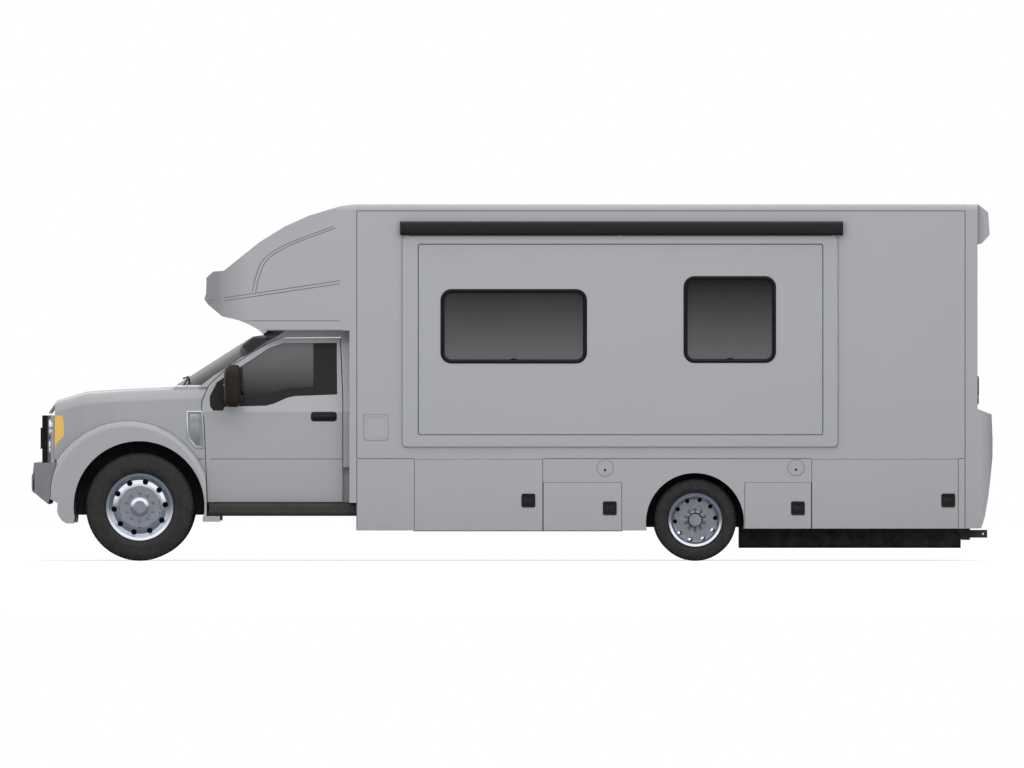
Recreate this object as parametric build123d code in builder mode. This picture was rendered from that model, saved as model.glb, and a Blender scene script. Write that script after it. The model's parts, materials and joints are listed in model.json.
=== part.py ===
from build123d import *

import os
from math import sqrt

# Motorhome on a heavy pickup cab chassis, with a slide-out room on its left side.
# Millimetres. X runs from the front bumper (negative) to the rear wall, Y from the
# left side (negative) to the right, and Z up from the ground. The origin lies on the
# ground below the middle of the overall box.

os.makedirs("parts", exist_ok=True)

# Clearances
fit = 0.3
run_gap = 6.0
panel_gap = 8.0

# House body
front_x = -4672.0
rear_x = 4672.0
house_width = 2540.0
house_front_x = -1511.0
rear_wall_x = 4523.0
cap_joint_x = 4406.0
wall_gauge = 50.0
waist_z = 991.0
floor_gauge = 80.0
roof_joint_z = 3406.0
roof_depth = 68.0
roof_z = roof_joint_z + roof_depth
skirt_gauge = 25.0
skirt_front_z = 296.0
skirt_rear_z = 316.0

half_house = house_width / 2
wall_inner_y = half_house - wall_gauge
skirt_inner_y = half_house - skirt_gauge
floor_half_y = skirt_inner_y - run_gap - 1.0
floor_z = waist_z - floor_gauge

# Chassis
rail_half_width = 432.0
rail_height = 250.0
rail_flange = 76.0
rail_gauge = 9.0
rail_front_x = -4400.0
rail_rear_x = 4380.0
rail_top_z = floor_z
rail_bottom_z = rail_top_z - rail_height
rail_mid_z = (rail_top_z + rail_bottom_z) / 2
crossmember_depth = 150.0
crossmember_width = 60.0

# Front wheels and steering
front_wheel_x = -3619.0
front_tyre_r = 525.0
front_tyre_width = 285.0
front_rim_r = 326.0
front_wheel_y = 1040.0
king_y = 860.0
king_pin_r = 20.0
eye_r = 52.0
eye_height = 110.0
yoke_gauge = 28.0
spindle_r = 38.0
beam_drop = 110.0
beam_height = 110.0
beam_width = 90.0

# Rear wheels
rear_wheel_x = 1781.0
rear_tyre_r = 400.0
rear_tyre_width = 225.0
rear_rim_r = 260.0
rear_outer_y = 1075.0
dual_spacing = 280.0
axle_tube_r = 75.0
axle_end_r = 45.0
spring_y = 500.0
spring_width = 76.0
spring_gauge = 44.0

hand_holes = 10
hand_hole_turn = 23.0


def block(x, y, z, mode=Mode.ADD):
    """Box between two limits on each axis, in the part in hand."""
    with Locations(((x[0] + x[1]) / 2, (y[0] + y[1]) / 2, (z[0] + z[1]) / 2)):
        Box(x[1] - x[0], y[1] - y[0], z[1] - z[0], mode=mode)


def side_prism(points, near, far, grow=0.0, mode=Mode.ADD):
    """Side outline of (x, z) points, grown all round, as thick as the two y limits."""
    low, high = min(near, far), max(near, far)
    with BuildSketch(Plane.XZ.offset(-high)) as outline:
        with BuildLine():
            Polyline(*points, close=True)
        make_face()
        if grow:
            offset(amount=grow, kind=Kind.INTERSECTION)
    extrude(outline.sketch, amount=high - low, mode=mode)


def end_prism(points, x0, x1, mode=Mode.ADD):
    """Cross-section of (y, z) points, as long as the two x limits."""
    with BuildSketch(Plane.YZ.offset(x0)) as outline:
        with BuildLine():
            Polyline(*points, close=True)
        make_face()
    extrude(outline.sketch, amount=x1 - x0, mode=mode)


def rounded_window(x, z, radius, near, far, mode=Mode.ADD):
    """Round-cornered pane or hole between two x, two z and two y limits."""
    low, high = min(near, far), max(near, far)
    with BuildSketch(Plane.XZ.offset(-high)) as pane:
        with Locations(((x[0] + x[1]) / 2, (z[0] + z[1]) / 2)):
            RectangleRounded(x[1] - x[0], z[1] - z[0], radius)
    extrude(pane.sketch, amount=high - low, mode=mode)


def across(x, z, radius, near, far, mode=Mode.ADD):
    """Round bar or bore that lies across the vehicle."""
    with Locations(Location((x, (near + far) / 2, z), (90, 0, 0))):
        Cylinder(radius, abs(far - near), mode=mode)


def wheel_plane(x, y, z):
    """Plane for a wheel's half section: out from the vehicle, then up from the axle."""
    return Plane(origin=(x, y, z), x_dir=(0, -1, 0), z_dir=(-1, 0, 0))


# Ladder frame: two inward-facing channels and their crossmembers
crossmember_xs = [-4330, -2300, -1450, -600, 250, 1100, 2450, 3250, 4250]

with BuildPart() as frame_rails:
    with BuildSketch(Plane.YZ.offset(rail_front_x)):
        with Locations((rail_half_width - rail_flange / 2, rail_mid_z)):
            Rectangle(rail_flange, rail_height)
        with Locations((rail_half_width - rail_gauge - rail_flange / 2, rail_mid_z)):
            Rectangle(rail_flange, rail_height - 2 * rail_gauge, mode=Mode.SUBTRACT)
        mirror(about=Plane.YZ)
    extrude(amount=rail_rear_x - rail_front_x)
    web_y = rail_half_width - rail_gauge
    for x in crossmember_xs:
        block((x, x + crossmember_width), (-web_y, web_y),
              (rail_mid_z - crossmember_depth / 2, rail_mid_z + crossmember_depth / 2))
        block((x + rail_gauge, x + crossmember_width), (-web_y + rail_flange, web_y - rail_flange),
              (rail_mid_z - crossmember_depth / 2 + rail_gauge,
               rail_mid_z + crossmember_depth / 2 - rail_gauge), mode=Mode.SUBTRACT)
frame_rails.part.label = "frame_rails"
export_step(frame_rails.part, "parts/frame_rails.step")

# Front axle: dropped I-beam with an eye for the king pin at each end
beam_mid_z = front_tyre_r - beam_drop
beam_half = [
    (0, beam_mid_z - beam_height / 2),
    (spring_y + spring_width, beam_mid_z - beam_height / 2),
    (king_y - eye_r, front_tyre_r - eye_height / 2),
    (king_y, front_tyre_r - eye_height / 2),
    (king_y, front_tyre_r + eye_height / 2),
    (king_y - eye_r, front_tyre_r + eye_height / 2),
    (spring_y + spring_width, beam_mid_z + beam_height / 2),
    (0, beam_mid_z + beam_height / 2),
]
beam_web_recess = 28.0
beam_flange = 22.0
with BuildPart() as front_axle:
    with BuildSketch(Plane.YZ.offset(front_wheel_x - beam_width / 2)):
        with BuildLine():
            Polyline(*beam_half, close=True)
        make_face()
        mirror(about=Plane.YZ)
    extrude(amount=beam_width)
    for x in (front_wheel_x - beam_width / 2, front_wheel_x + beam_width / 2 - beam_web_recess):
        block((x, x + beam_web_recess), (-spring_y - spring_width, spring_y + spring_width),
              (beam_mid_z - beam_height / 2 + beam_flange, beam_mid_z + beam_height / 2 - beam_flange),
              mode=Mode.SUBTRACT)
    with Locations((front_wheel_x, king_y, front_tyre_r), (front_wheel_x, -king_y, front_tyre_r)):
        Cylinder(eye_r, eye_height)
        Cylinder(king_pin_r + fit, eye_height, mode=Mode.SUBTRACT)
front_axle.part.label = "front_axle"
export_step(front_axle.part, "parts/front_axle.step")

# Rear axle: tube, differential bowl, spindles and the shaft from the gearbox
pinion_length = 260.0
bowl_r = 190.0
shaft_r = 45.0
gearbox_rear_x = -2600.0
gearbox_z = 640.0
shaft_slope = (gearbox_z - rear_tyre_r) / (rear_wheel_x - pinion_length - gearbox_rear_x)
shaft_front_x = gearbox_rear_x + shaft_r * shaft_slope + fit
hub_inner_y = rear_outer_y - dual_spacing / 2 - 95.0
spindle_end_y = rear_outer_y + 39.0
with BuildPart() as rear_axle:
    with Locations(Location((rear_wheel_x, 0, rear_tyre_r), (90, 0, 0))):
        Cylinder(axle_tube_r, 2 * hub_inner_y)
        Cylinder(axle_end_r, 2 * spindle_end_y)
    with Locations((rear_wheel_x, 0, rear_tyre_r)):
        Sphere(bowl_r)
    with Locations(Location((rear_wheel_x - pinion_length / 2, 0, rear_tyre_r), (0, 90, 0))):
        Cylinder(bowl_r * 0.55, pinion_length)
    with BuildLine() as shaft_line:
        Line((rear_wheel_x - pinion_length, 0, rear_tyre_r), (shaft_front_x, 0, gearbox_z))
    with BuildSketch(Plane(origin=shaft_line.line @ 0, z_dir=shaft_line.line % 0)):
        Circle(shaft_r)
    sweep(path=shaft_line.line)
rear_axle.part.label = "rear_axle"
export_step(rear_axle.part, "parts/rear_axle.step")

# Leaf springs: one curved pack at each wheel, in eyes below the rails
#          axle x,       pack underside z,                      half length, rise
springs = [
    (front_wheel_x, beam_mid_z + beam_height / 2, 660.0, 120.0),
    (rear_wheel_x, rear_tyre_r + axle_tube_r, 690.0, 100.0),
]
with BuildPart() as leaf_springs:
    for axle_x, seat_z, half_length, rise in springs:
        with BuildSketch(Plane.XZ.offset(-spring_y - spring_width / 2)):
            with BuildLine():
                low = ThreePointArc((axle_x - half_length, seat_z + rise), (axle_x, seat_z),
                                    (axle_x + half_length, seat_z + rise))
                Line(low @ 1, low @ 1 + Vector(0, spring_gauge))
                ThreePointArc(low @ 1 + Vector(0, spring_gauge), (axle_x, seat_z + spring_gauge),
                              low @ 0 + Vector(0, spring_gauge))
                Line(low @ 0 + Vector(0, spring_gauge), low @ 0)
            make_face()
        extrude(amount=spring_width)
        for end_x in (axle_x - half_length, axle_x + half_length):
            block((end_x - 40, end_x + 40),
                  (rail_half_width, spring_y + spring_width / 2),
                  (seat_z + rise - 15, rail_mid_z + 40))
    mirror(about=Plane.XZ)
leaf_springs.part.label = "leaf_springs"
export_step(leaf_springs.part, "parts/leaf_springs.step")

# Engine and gearbox as plain blocks in the frame
engine_x = (-4180.0, -3250.0)
engine_half_width = 330.0
engine_z = (beam_mid_z + beam_height / 2 + 110.0, 1330.0)
with BuildPart() as engine_block:
    block(engine_x, (-engine_half_width, engine_half_width), engine_z)
    block((engine_x[1], gearbox_rear_x), (-210, 210), (gearbox_z - 150, gearbox_z + 190))
engine_block.part.label = "engine_block"
export_step(engine_block.part, "parts/engine_block.step")

# Fuel tank on the right of the frame, below the cab
tank_x = (-2850.0, -1750.0)
tank_low_z = rail_bottom_z - 120.0
tank_height = 360.0
tank_side_y = 835.0
tank_round = 60.0
with BuildPart() as fuel_tank:
    block(tank_x, (rail_half_width + fit, tank_side_y), (tank_low_z, tank_low_z + tank_height))
    fillet(fuel_tank.edges().filter_by(Axis.X), radius=tank_round)
    for x in (tank_x[0] + 200, tank_x[1] - 260):
        block((x, x + 60), (rail_half_width, rail_half_width + 80),
              (rail_bottom_z - 60, rail_top_z - 20))
fuel_tank.part.label = "fuel_tank"
export_step(fuel_tank.part, "parts/fuel_tank.step")

# Steering knuckles: yoke round the beam's eye, king pin, spindle and steering arm
yoke_half_height = eye_height / 2 + fit + yoke_gauge
yoke_web_y = king_y + eye_r + 3.0
yoke_web_gauge = 34.0
spindle_outer_y = front_wheel_y + 59.0
arm_length = 230.0
arm_relief = 8.0
with BuildPart() as knuckle_left:
    for z in (front_tyre_r + yoke_half_height - yoke_gauge / 2,
              front_tyre_r - yoke_half_height + yoke_gauge / 2):
        with Locations((front_wheel_x, -king_y, z)):
            Cylinder(eye_r, yoke_gauge)
        block((front_wheel_x - eye_r, front_wheel_x + eye_r), (-yoke_web_y - yoke_web_gauge, -king_y),
              (z - yoke_gauge / 2, z + yoke_gauge / 2))
    block((front_wheel_x - eye_r, front_wheel_x + eye_r), (-yoke_web_y - yoke_web_gauge, -yoke_web_y),
          (front_tyre_r - yoke_half_height, front_tyre_r + yoke_half_height))
    with Locations((front_wheel_x, -king_y, front_tyre_r)):
        Cylinder(king_pin_r, 2 * yoke_half_height)
    across(front_wheel_x, front_tyre_r, spindle_r, -yoke_web_y, -spindle_outer_y)
    block((front_wheel_x, front_wheel_x + arm_length), (-king_y - 20, -king_y + 20),
          (front_tyre_r - yoke_half_height, front_tyre_r - yoke_half_height + yoke_gauge - arm_relief))
knuckle_left.part.label = "knuckle_left"
export_step(knuckle_left.part, "parts/knuckle_left.step")

with BuildPart() as knuckle_right:
    add(mirror(knuckle_left.part, about=Plane.XZ))
knuckle_right.part.label = "knuckle_right"
export_step(knuckle_right.part, "parts/knuckle_right.step")

# Front wheel, convex disc with hand holes; (out from the middle of the rim, radius)
front_bead_r = 302.0
front_bead_half = 104.0
front_hole_circle = 250.0
front_hole_r = 28.0
front_hole_depth = 88.0
hub_bore_r = spindle_r + fit
hub_inner_a = yoke_web_y + yoke_web_gauge + 8.0 - front_wheel_y
front_rim = [
    (118, 0), (118, 60), (110, 88), (90, 94), (90, 198), (97, 204), (95, 226), (82, 262),
    (68, 284), (74, 292), (108, 298), (114, front_rim_r),
    (front_bead_half, front_rim_r), (front_bead_half, front_bead_r), (60, 300), (46, 290),
    (-60, 290), (-75, 300), (-front_bead_half, front_bead_r), (-front_bead_half, front_rim_r),
    (-114, front_rim_r), (-114, 292), (-80, 288), (-66, 278), (36, 278), (52, 268), (66, 250),
    (78, 220), (74, 196), (74, 110), (-28, 110), (-28, 215), (-52, 215), (-52, 110),
    (hub_inner_a, 100), (hub_inner_a, hub_bore_r), (59.5, hub_bore_r), (59.5, 0),
]
front_wheel_plane = wheel_plane(front_wheel_x, -front_wheel_y, front_tyre_r)
front_axis = Axis((front_wheel_x, 0, front_tyre_r), (0, 1, 0))
with BuildPart() as front_wheel_left:
    with BuildSketch(front_wheel_plane):
        with BuildLine():
            Polyline(*front_rim, close=True)
        make_face()
    revolve(axis=front_axis)
    hole_face = Plane(origin=(front_wheel_x, -front_wheel_y - 125, front_tyre_r), z_dir=(0, -1, 0))
    with BuildSketch(hole_face):
        with PolarLocations(front_hole_circle, hand_holes, start_angle=hand_hole_turn):
            Circle(front_hole_r)
    extrude(amount=-front_hole_depth, mode=Mode.SUBTRACT)
front_wheel_left.part.label = "front_wheel_left"
export_step(front_wheel_left.part, "parts/front_wheel_left.step")

with BuildPart() as front_wheel_right:
    add(mirror(front_wheel_left.part, about=Plane.XZ))
front_wheel_right.part.label = "front_wheel_right"
export_step(front_wheel_right.part, "parts/front_wheel_right.step")


def tyre_section(plane, width, outer_r, bead_r, bead_half, flange_r):
    """Tyre half section: flat tread, round shoulders, bulged walls and beads."""
    half = width / 2
    wall = 22.0
    shoulder = 34.0
    middle_r = (outer_r + flange_r) / 2
    with BuildSketch(plane) as section:
        with BuildLine():
            Line((-half + shoulder, outer_r), (half - shoulder, outer_r))
            for s in (-1, 1):
                ThreePointArc((s * (half - shoulder), outer_r), (s * (half - 12), outer_r - 10),
                              (s * (half - 4), outer_r - shoulder))
                ThreePointArc((s * (half - 4), outer_r - shoulder), (s * half, middle_r),
                              (s * (bead_half + 4), flange_r + 1))
                Polyline((s * (bead_half + 4), flange_r + 1), (s * bead_half, flange_r + 1),
                         (s * bead_half, bead_r), (s * (bead_half - wall), bead_r),
                         (s * (half - wall - 4), middle_r),
                         (s * (half - wall - 12), outer_r - wall), (0, outer_r - wall))
        make_face()
    return section.sketch


with BuildPart() as front_tyre_left:
    revolve(tyre_section(front_wheel_plane, front_tyre_width, front_tyre_r,
                         front_bead_r + fit, front_bead_half - fit, front_rim_r), axis=front_axis)
front_tyre_left.part.label = "front_tyre_left"
export_step(front_tyre_left.part, "parts/front_tyre_left.step")

with BuildPart() as front_tyre_right:
    add(mirror(front_tyre_left.part, about=Plane.XZ))
front_tyre_right.part.label = "front_tyre_right"
export_step(front_tyre_right.part, "parts/front_tyre_right.step")

# Rear twin wheels: two dished rims, back to back on one hub
rear_bead_r = 240.0
rear_bead_half = 90.0
dual_half = dual_spacing / 2
rear_hub_bore_r = axle_end_r + fit
rear_hole_circle = 196.0
rear_hole_r = 21.0
rear_hole_depth = 60.0
rear_hub_end = 95.0 - fit
outer_rim = [
    (58, 0), (58, 58), (42, 72), (-126, 84), (-126, 200), (-114, 219), (44, 221), (58, 228),
    (92, 236), (100, rear_rim_r), (rear_bead_half, rear_rim_r), (rear_bead_half, rear_bead_r),
    (54, 239), (40, 232), (-50, 232), (-64, 239), (-rear_bead_half, rear_bead_r),
    (-rear_bead_half, rear_rim_r), (-100, rear_rim_r), (-100, 234), (-126, 228),
    (-dual_half, 206), (-dual_half, rear_hub_bore_r), (39.5, rear_hub_bore_r), (39.5, 0),
]
inner_rim = [(-dual_spacing - a, r) for a, r in outer_rim[4:-3]] + [
    (-dual_half, rear_hub_bore_r), (-dual_half - rear_hub_end, rear_hub_bore_r),
    (-dual_half - rear_hub_end, 84), (126 - dual_spacing, 84),
]
rear_plane = wheel_plane(rear_wheel_x, -rear_outer_y, rear_tyre_r)
inner_rear_plane = wheel_plane(rear_wheel_x, -rear_outer_y + dual_spacing, rear_tyre_r)
rear_axis = Axis((rear_wheel_x, 0, rear_tyre_r), (0, 1, 0))
with BuildPart() as rear_wheels_left:
    for rim in (outer_rim, inner_rim):
        with BuildSketch(rear_plane):
            with BuildLine():
                Polyline(*rim, close=True)
            make_face()
        revolve(axis=rear_axis)
    hole_face = Plane(origin=(rear_wheel_x, -rear_outer_y + 110, rear_tyre_r), z_dir=(0, -1, 0))
    with BuildSketch(hole_face):
        with PolarLocations(rear_hole_circle, hand_holes, start_angle=hand_hole_turn):
            Circle(rear_hole_r)
    extrude(amount=-rear_hole_depth, mode=Mode.SUBTRACT)
rear_wheels_left.part.label = "rear_wheels_left"
export_step(rear_wheels_left.part, "parts/rear_wheels_left.step")

with BuildPart() as rear_wheels_right:
    add(mirror(rear_wheels_left.part, about=Plane.XZ))
rear_wheels_right.part.label = "rear_wheels_right"
export_step(rear_wheels_right.part, "parts/rear_wheels_right.step")

with BuildPart() as rear_tyres_left:
    for plane in (rear_plane, inner_rear_plane):
        revolve(tyre_section(plane, rear_tyre_width, rear_tyre_r, rear_bead_r + fit,
                             rear_bead_half - fit, rear_rim_r), axis=rear_axis)
rear_tyres_left.part.label = "rear_tyres_left"
export_step(rear_tyres_left.part, "parts/rear_tyres_left.step")

with BuildPart() as rear_tyres_right:
    add(mirror(rear_tyres_left.part, about=Plane.XZ))
rear_tyres_right.part.label = "rear_tyres_right"
export_step(rear_tyres_right.part, "parts/rear_tyres_right.step")

# Cab: width, leaning sides above the belt, and the bowed windscreen
cab_half = 1010.0
cab_sill_z = 573.0
cab_belt_z = 1450.0
cab_top_z = 2240.0
cab_lean = 125.0
cab_rear_x = -1579.0
cab_skin = 60.0
door_gauge = 80.0
cowl_front_x = -3298.0
cowl_z = 1690.0
cowl_rebate = (8.0, 12.0)
hood_half = cab_half - 316.0
cab_floor_z = 960.0
firewall_x = -3225.0
firewall_gauge = 30.0
screen_bow_r = 3066.0
screen_gauge = 8.0
screen_half = cab_half - 85.0
screen_inset = 46.0
screen_flange = 45.0
screen_z = (1712.0, 2170.0)
screen_foot = Vector(-3284.0, 0, 1706.0)
screen_head = Vector(-2536.0, 0, 2182.0)
hull_front_x = cowl_front_x - 102.0
hull_rear_x = cab_rear_x + 79.0


def cab_section(inset, mode=Mode.ADD):
    """Cab cross-section with its leaning upper sides, drawn in by an inset."""
    half = cab_half - inset
    top = cab_top_z - inset
    low = cab_sill_z - 200.0
    end_prism([(-half, low), (-half, cab_belt_z), (cab_lean - half, top), (half - cab_lean, top),
               (half, cab_belt_z), (half, low)], hull_front_x, hull_rear_x, mode=mode)


def screen_prism(outer, inner, half, mode=Mode.ADD):
    """Bowed sheet along the windscreen's slope, between two depths below its face."""
    slope = (screen_head - screen_foot).normalized()
    overrun = 400.0
    with BuildSketch(Plane(origin=screen_foot - slope * overrun, x_dir=(0, 1, 0), z_dir=slope)) as sheet:
        with BuildLine():
            arcs = []
            for depth in (outer, inner):
                r = screen_bow_r - depth
                sag = r - sqrt(r * r - half * half)
                arcs.append(ThreePointArc((-half, -sag - depth), (0, -depth), (half, -sag - depth)))
            Line(arcs[0] @ 0, arcs[1] @ 0)
            Line(arcs[0] @ 1, arcs[1] @ 1)
        make_face()
    extrude(sheet.sketch, amount=(screen_head - screen_foot).length + 2 * overrun, mode=mode)


# Outlines on the side view: door, its glass, windscreen pillar and cab hull; (x, z)
door_outline = [
    (-2960, 573), (-2989, 1322), (-3016, 1500), (-3010, 1560), (-2990, 1612), (-2938, 1716),
    (-2799, 1844), (-2520, 2027), (-2365, 2115), (-2290, 2150), (-2226, 2166), (-1674, 2172),
    (-1650, 1600), (-1650, 573),
]
glass_outline = [
    (-2795, 1500), (-2397, 1508), (-2319, 1528), (-2185, 1586), (-2107, 1603), (-1700, 1618),
    (-1706, 2120), (-2230, 2118), (-2364, 2068), (-2620, 1902), (-2795, 1788),
]
sail_outline = [
    (-2930, 1505), (-2905, 1462), (-2812, 1462), (-2803, 1500), (-2803, 1780), (-2872, 1730),
    (-2936, 1600),
]
ahead_of_pillar = [
    (-3400, 1692), (-3045, 1692), (-2903, 1800), (-2721, 1913), (-2469, 2095), (-2372, 2170),
    (-2440, 2300), (-3400, 2300),
]
cab_hull = [
    (cab_rear_x, cab_top_z), (-2375, cab_top_z), (-2425, 2197), (screen_head.X, screen_head.Z),
    (screen_foot.X, screen_foot.Z), (screen_foot.X, cowl_z), (cowl_front_x, cowl_z),
    (cowl_front_x, 1460), (firewall_x, 1390), (firewall_x, 1080), (-2990, floor_z),
    (cab_rear_x, floor_z),
]
cab_hollow = [
    (cab_rear_x + 50, cab_top_z - cab_skin), (-2380, cab_top_z - cab_skin), (-2436, 2150),
    (-3120, 1715), (-3120, 1640), (cowl_front_x + 90, 1640), (firewall_x + firewall_gauge, 1420),
    (firewall_x + firewall_gauge, 1100),
    (-2960, cab_floor_z), (cab_rear_x + 50, cab_floor_z),
]
pillar_y = cab_half - 105.0
cab_post_y = cab_half - 60.0
jamb_y = (cab_half - 160.0, cab_half - 114.0)
jamb_rear_x = -2930.0
jamb_relief = 12.0
step_top_z = 566.0

arch_x = -3624.0
arch_z = 529.0
arch_r = 636.0
liner_gauge = 10.0
wheel_house_y = cab_half - 435.0
liner_trim = 75.0

with BuildPart() as cab_room:
    side_prism(cab_hollow, -cab_half, cab_half)
    cab_section(cab_skin, mode=Mode.INTERSECT)
    screen_prism(-600, cab_skin, screen_half, mode=Mode.SUBTRACT)
    for s in (-1, 1):
        block((hull_front_x, jamb_rear_x), sorted((s * jamb_y[0], s * cab_half)),
              (cab_floor_z - 50, cowl_z), mode=Mode.SUBTRACT)

# Hinges of the cab doors: beads on the doors that bear on tongues from the cab's posts
door_axis_x = -2950.0
door_axis_y = cab_half - 10.0
door_bead_r = 10.0
door_hinge_zs = (780.0, 1290.0)
hinge_half = 30.0
tongue_half = 20.0
door_pocket_y = (cab_half - 90.0, cab_half - 8.0)

with BuildPart() as door_space:
    side_prism(door_outline, -cab_half - 50, cab_half + 50, grow=panel_gap)
    cab_section(door_gauge + run_gap, mode=Mode.SUBTRACT)
    for s in (-1, 1):
        block((-3060, jamb_rear_x + 10), sorted((s * jamb_y[1], s * cab_half)),
              (cab_sill_z - panel_gap, cowl_z - 60))
        block((-3060, jamb_rear_x + 10), sorted((s * (jamb_y[1] - jamb_relief), s * cab_half)),
              (cab_belt_z, cowl_z - 60))

with BuildPart() as screen_glass:
    screen_prism(0, screen_gauge, screen_half)
    cab_section(screen_inset, mode=Mode.INTERSECT)
    block((hull_front_x, hull_rear_x), (-cab_half, cab_half), screen_z, mode=Mode.INTERSECT)

with BuildPart() as screen_hole:
    screen_prism(-20, 260, screen_half)
    cab_section(screen_inset + screen_flange, mode=Mode.INTERSECT)
    block((hull_front_x, hull_rear_x), (-cab_half, cab_half),
          (screen_z[0] + screen_flange * 0.6, screen_z[1] - screen_flange * 0.6), mode=Mode.INTERSECT)

with BuildPart() as screen_seat:
    screen_prism(-20, screen_gauge + fit, screen_half)
    cab_section(screen_inset - 2, mode=Mode.INTERSECT)
    block((hull_front_x, hull_rear_x), (-cab_half, cab_half),
          (screen_z[0] - 2, screen_z[1] + 2), mode=Mode.INTERSECT)

sill_y = (cab_half - door_gauge - 60.0, cab_half - door_gauge - 20.0)
with BuildPart() as cab_shell:
    side_prism(cab_hull, -cab_half, cab_half)
    cab_section(0, mode=Mode.INTERSECT)
    screen_prism(-600, 0, screen_half, mode=Mode.SUBTRACT)
    for s in (-1, 1):
        side_prism(ahead_of_pillar, s * pillar_y, s * cab_half, mode=Mode.SUBTRACT)
        block((hull_front_x, -2950), sorted((s * cab_post_y, s * (cab_half + 5))),
              (cab_sill_z, cowl_z + 2), mode=Mode.SUBTRACT)
        across(arch_x, arch_z, arch_r + liner_gauge + 2, s * (wheel_house_y - liner_gauge - 2),
               s * (cab_half + 5), mode=Mode.SUBTRACT)
    add(cab_room.part, mode=Mode.SUBTRACT)
    add(door_space.part, mode=Mode.SUBTRACT)
    add(screen_hole.part, mode=Mode.SUBTRACT)
    add(screen_seat.part, mode=Mode.SUBTRACT)
    block((cowl_front_x - 1, cowl_front_x + cowl_rebate[0]), (-hood_half - 10, hood_half + 10),
          (cowl_z - cowl_rebate[1], cowl_z + 5), mode=Mode.SUBTRACT)
    for s in (-1, 1):
        block((-2940, cab_rear_x), sorted((s * sill_y[0], s * sill_y[1])), (step_top_z, floor_z))
        for z in door_hinge_zs:
            block((door_axis_x - 3, door_axis_x + 10),
                  sorted((s * jamb_y[0], s * (door_axis_y - door_bead_r - fit))),
                  (z - tongue_half, z + tongue_half))
cab_shell.part.label = "cab_shell"
export_step(cab_shell.part, "parts/cab_shell.step")

screen_glass.part.label = "windshield"
export_step(screen_glass.part, "parts/windshield.step")

# Front clip stations: x, hood top z, hood half width, fender side y, hood skin depth
clip_stations = [
    (-3326.0, 1691.0, hood_half, cab_half, 25.0),
    (-3857.0, 1667.0, hood_half, cab_half, 25.0),
    (-4156.0, 1645.0, hood_half - 4.0, cab_half - 25.0, 25.0),
    (-4439.0, 1561.0, hood_half - 34.0, cab_half - 80.0, 32.0),
    (-4508.0, 1461.0, hood_half - 74.0, cab_half - 130.0, 24.0),
]
hood_crown = 16.0
fender_drop = 14.0
fender_shoulder = 110.0
fender_gauge = 12.0
fender_rear_x = -2962.0
fender_front_x = -4448.0
flare_half = cab_half + 215.0
flare_inner_y = cab_post_y
flare_x = -3730.0
flare_z = 556.0
flare_r = 803.0
flare_round = 55.0
clip_inner_y = hood_half - 94.0
sill_pad_x = (-3006.0, -2839.0)
sill_pad_z = (381.0, 437.0 - fit)

fender_outline = [
    (-3006, 381), (-2968, 381), (-2968, 573), (-2997, 1322), (-3024, 1500), (-3018, 1562),
    (-2998, 1614), (fender_rear_x, cowl_z), (fender_rear_x, 1900), (fender_front_x, 1900),
    (fender_front_x, 1000), (-4424, 958), (-4456, 848), (-4480, 736), (-4484, 634), (-4490, 606),
    (-4416, 560), (-4421, 486), (-4411, 448), (-4379, 397), (-4332, 364), (-4259, 364),
    (-4249, 453), (-4000, 700), (-3200, 700), (-3012, 453),
]


def fender_form(inset, mode=Mode.ADD):
    """Crowned fender body by straight-ruled sections from the cowl to the lamps."""
    for (x0, z0, inner0, side0), (x1, z1, inner1, side1) in zip(fender_rows[:-1], fender_rows[1:]):
        faces = []
        for x, z, inner, side in ((x0, z0, inner0, side0), (x1, z1, inner1, side1)):
            top = z - fender_drop - inset
            edge = side - inset
            with BuildSketch(Plane.YZ.offset(x)) as section:
                with BuildLine():
                    Line((-inner, top), (-inner, 300))
                    Line((-inner, 300), (-edge, 300))
                    Line((-edge, 300), (-edge, top - fender_shoulder))
                    ThreePointArc((-edge, top - fender_shoulder),
                                  (-edge + fender_shoulder * 0.29, top - fender_shoulder * 0.29),
                                  (-edge + fender_shoulder, top))
                    Line((-edge + fender_shoulder, top), (-inner, top))
                make_face()
            faces.append(section.sketch)
        loft(sections=faces, ruled=True, mode=mode)


fender_rows = [(fender_rear_x, cowl_z + fender_drop, hood_half + run_gap, cab_half)] + [
    (x, z, half + run_gap, side) for x, z, half, side, depth in clip_stations[:-1]
] + [(-4490.0, 1540.0, hood_half - 34.0, cab_half - 90.0)]

with BuildPart() as fender_skin:
    fender_form(0)
with BuildPart() as fender_hollow:
    fender_form(fender_gauge)

with BuildPart() as front_fenders:
    add(fender_skin.part)
    add(fender_hollow.part, mode=Mode.SUBTRACT)
    block((-4600, -2900), (-hood_half - 26, -clip_inner_y), (300, 1380), mode=Mode.SUBTRACT)
    block((cowl_front_x - 4, -2900), (-cab_post_y, -clip_inner_y), (300, 1900), mode=Mode.SUBTRACT)
    side_prism(fender_outline, -flare_half, -clip_inner_y, mode=Mode.INTERSECT)
    across(arch_x, arch_z, arch_r, -flare_half, -clip_inner_y, mode=Mode.SUBTRACT)
    with BuildSketch(Plane.XZ.offset(flare_inner_y)):
        with BuildLine():
            Polyline(*fender_outline, close=True)
        make_face()
        with Locations((flare_x, flare_z)):
            Circle(flare_r, mode=Mode.INTERSECT)
        with Locations((arch_x, arch_z)):
            Circle(arch_r, mode=Mode.SUBTRACT)
    extrude(amount=flare_half - flare_inner_y)
    flare_rim = [e for e in front_fenders.edges().filter_by(GeomType.CIRCLE)
                 if abs(e.radius - flare_r) < 1 and abs(e.center().Y + flare_half) < 1]
    fillet(flare_rim, radius=flare_round)
    block(sill_pad_x, (-flare_half, -cab_half), sill_pad_z)
    mirror(about=Plane.XZ)
front_fenders.part.label = "front_fenders"
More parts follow.
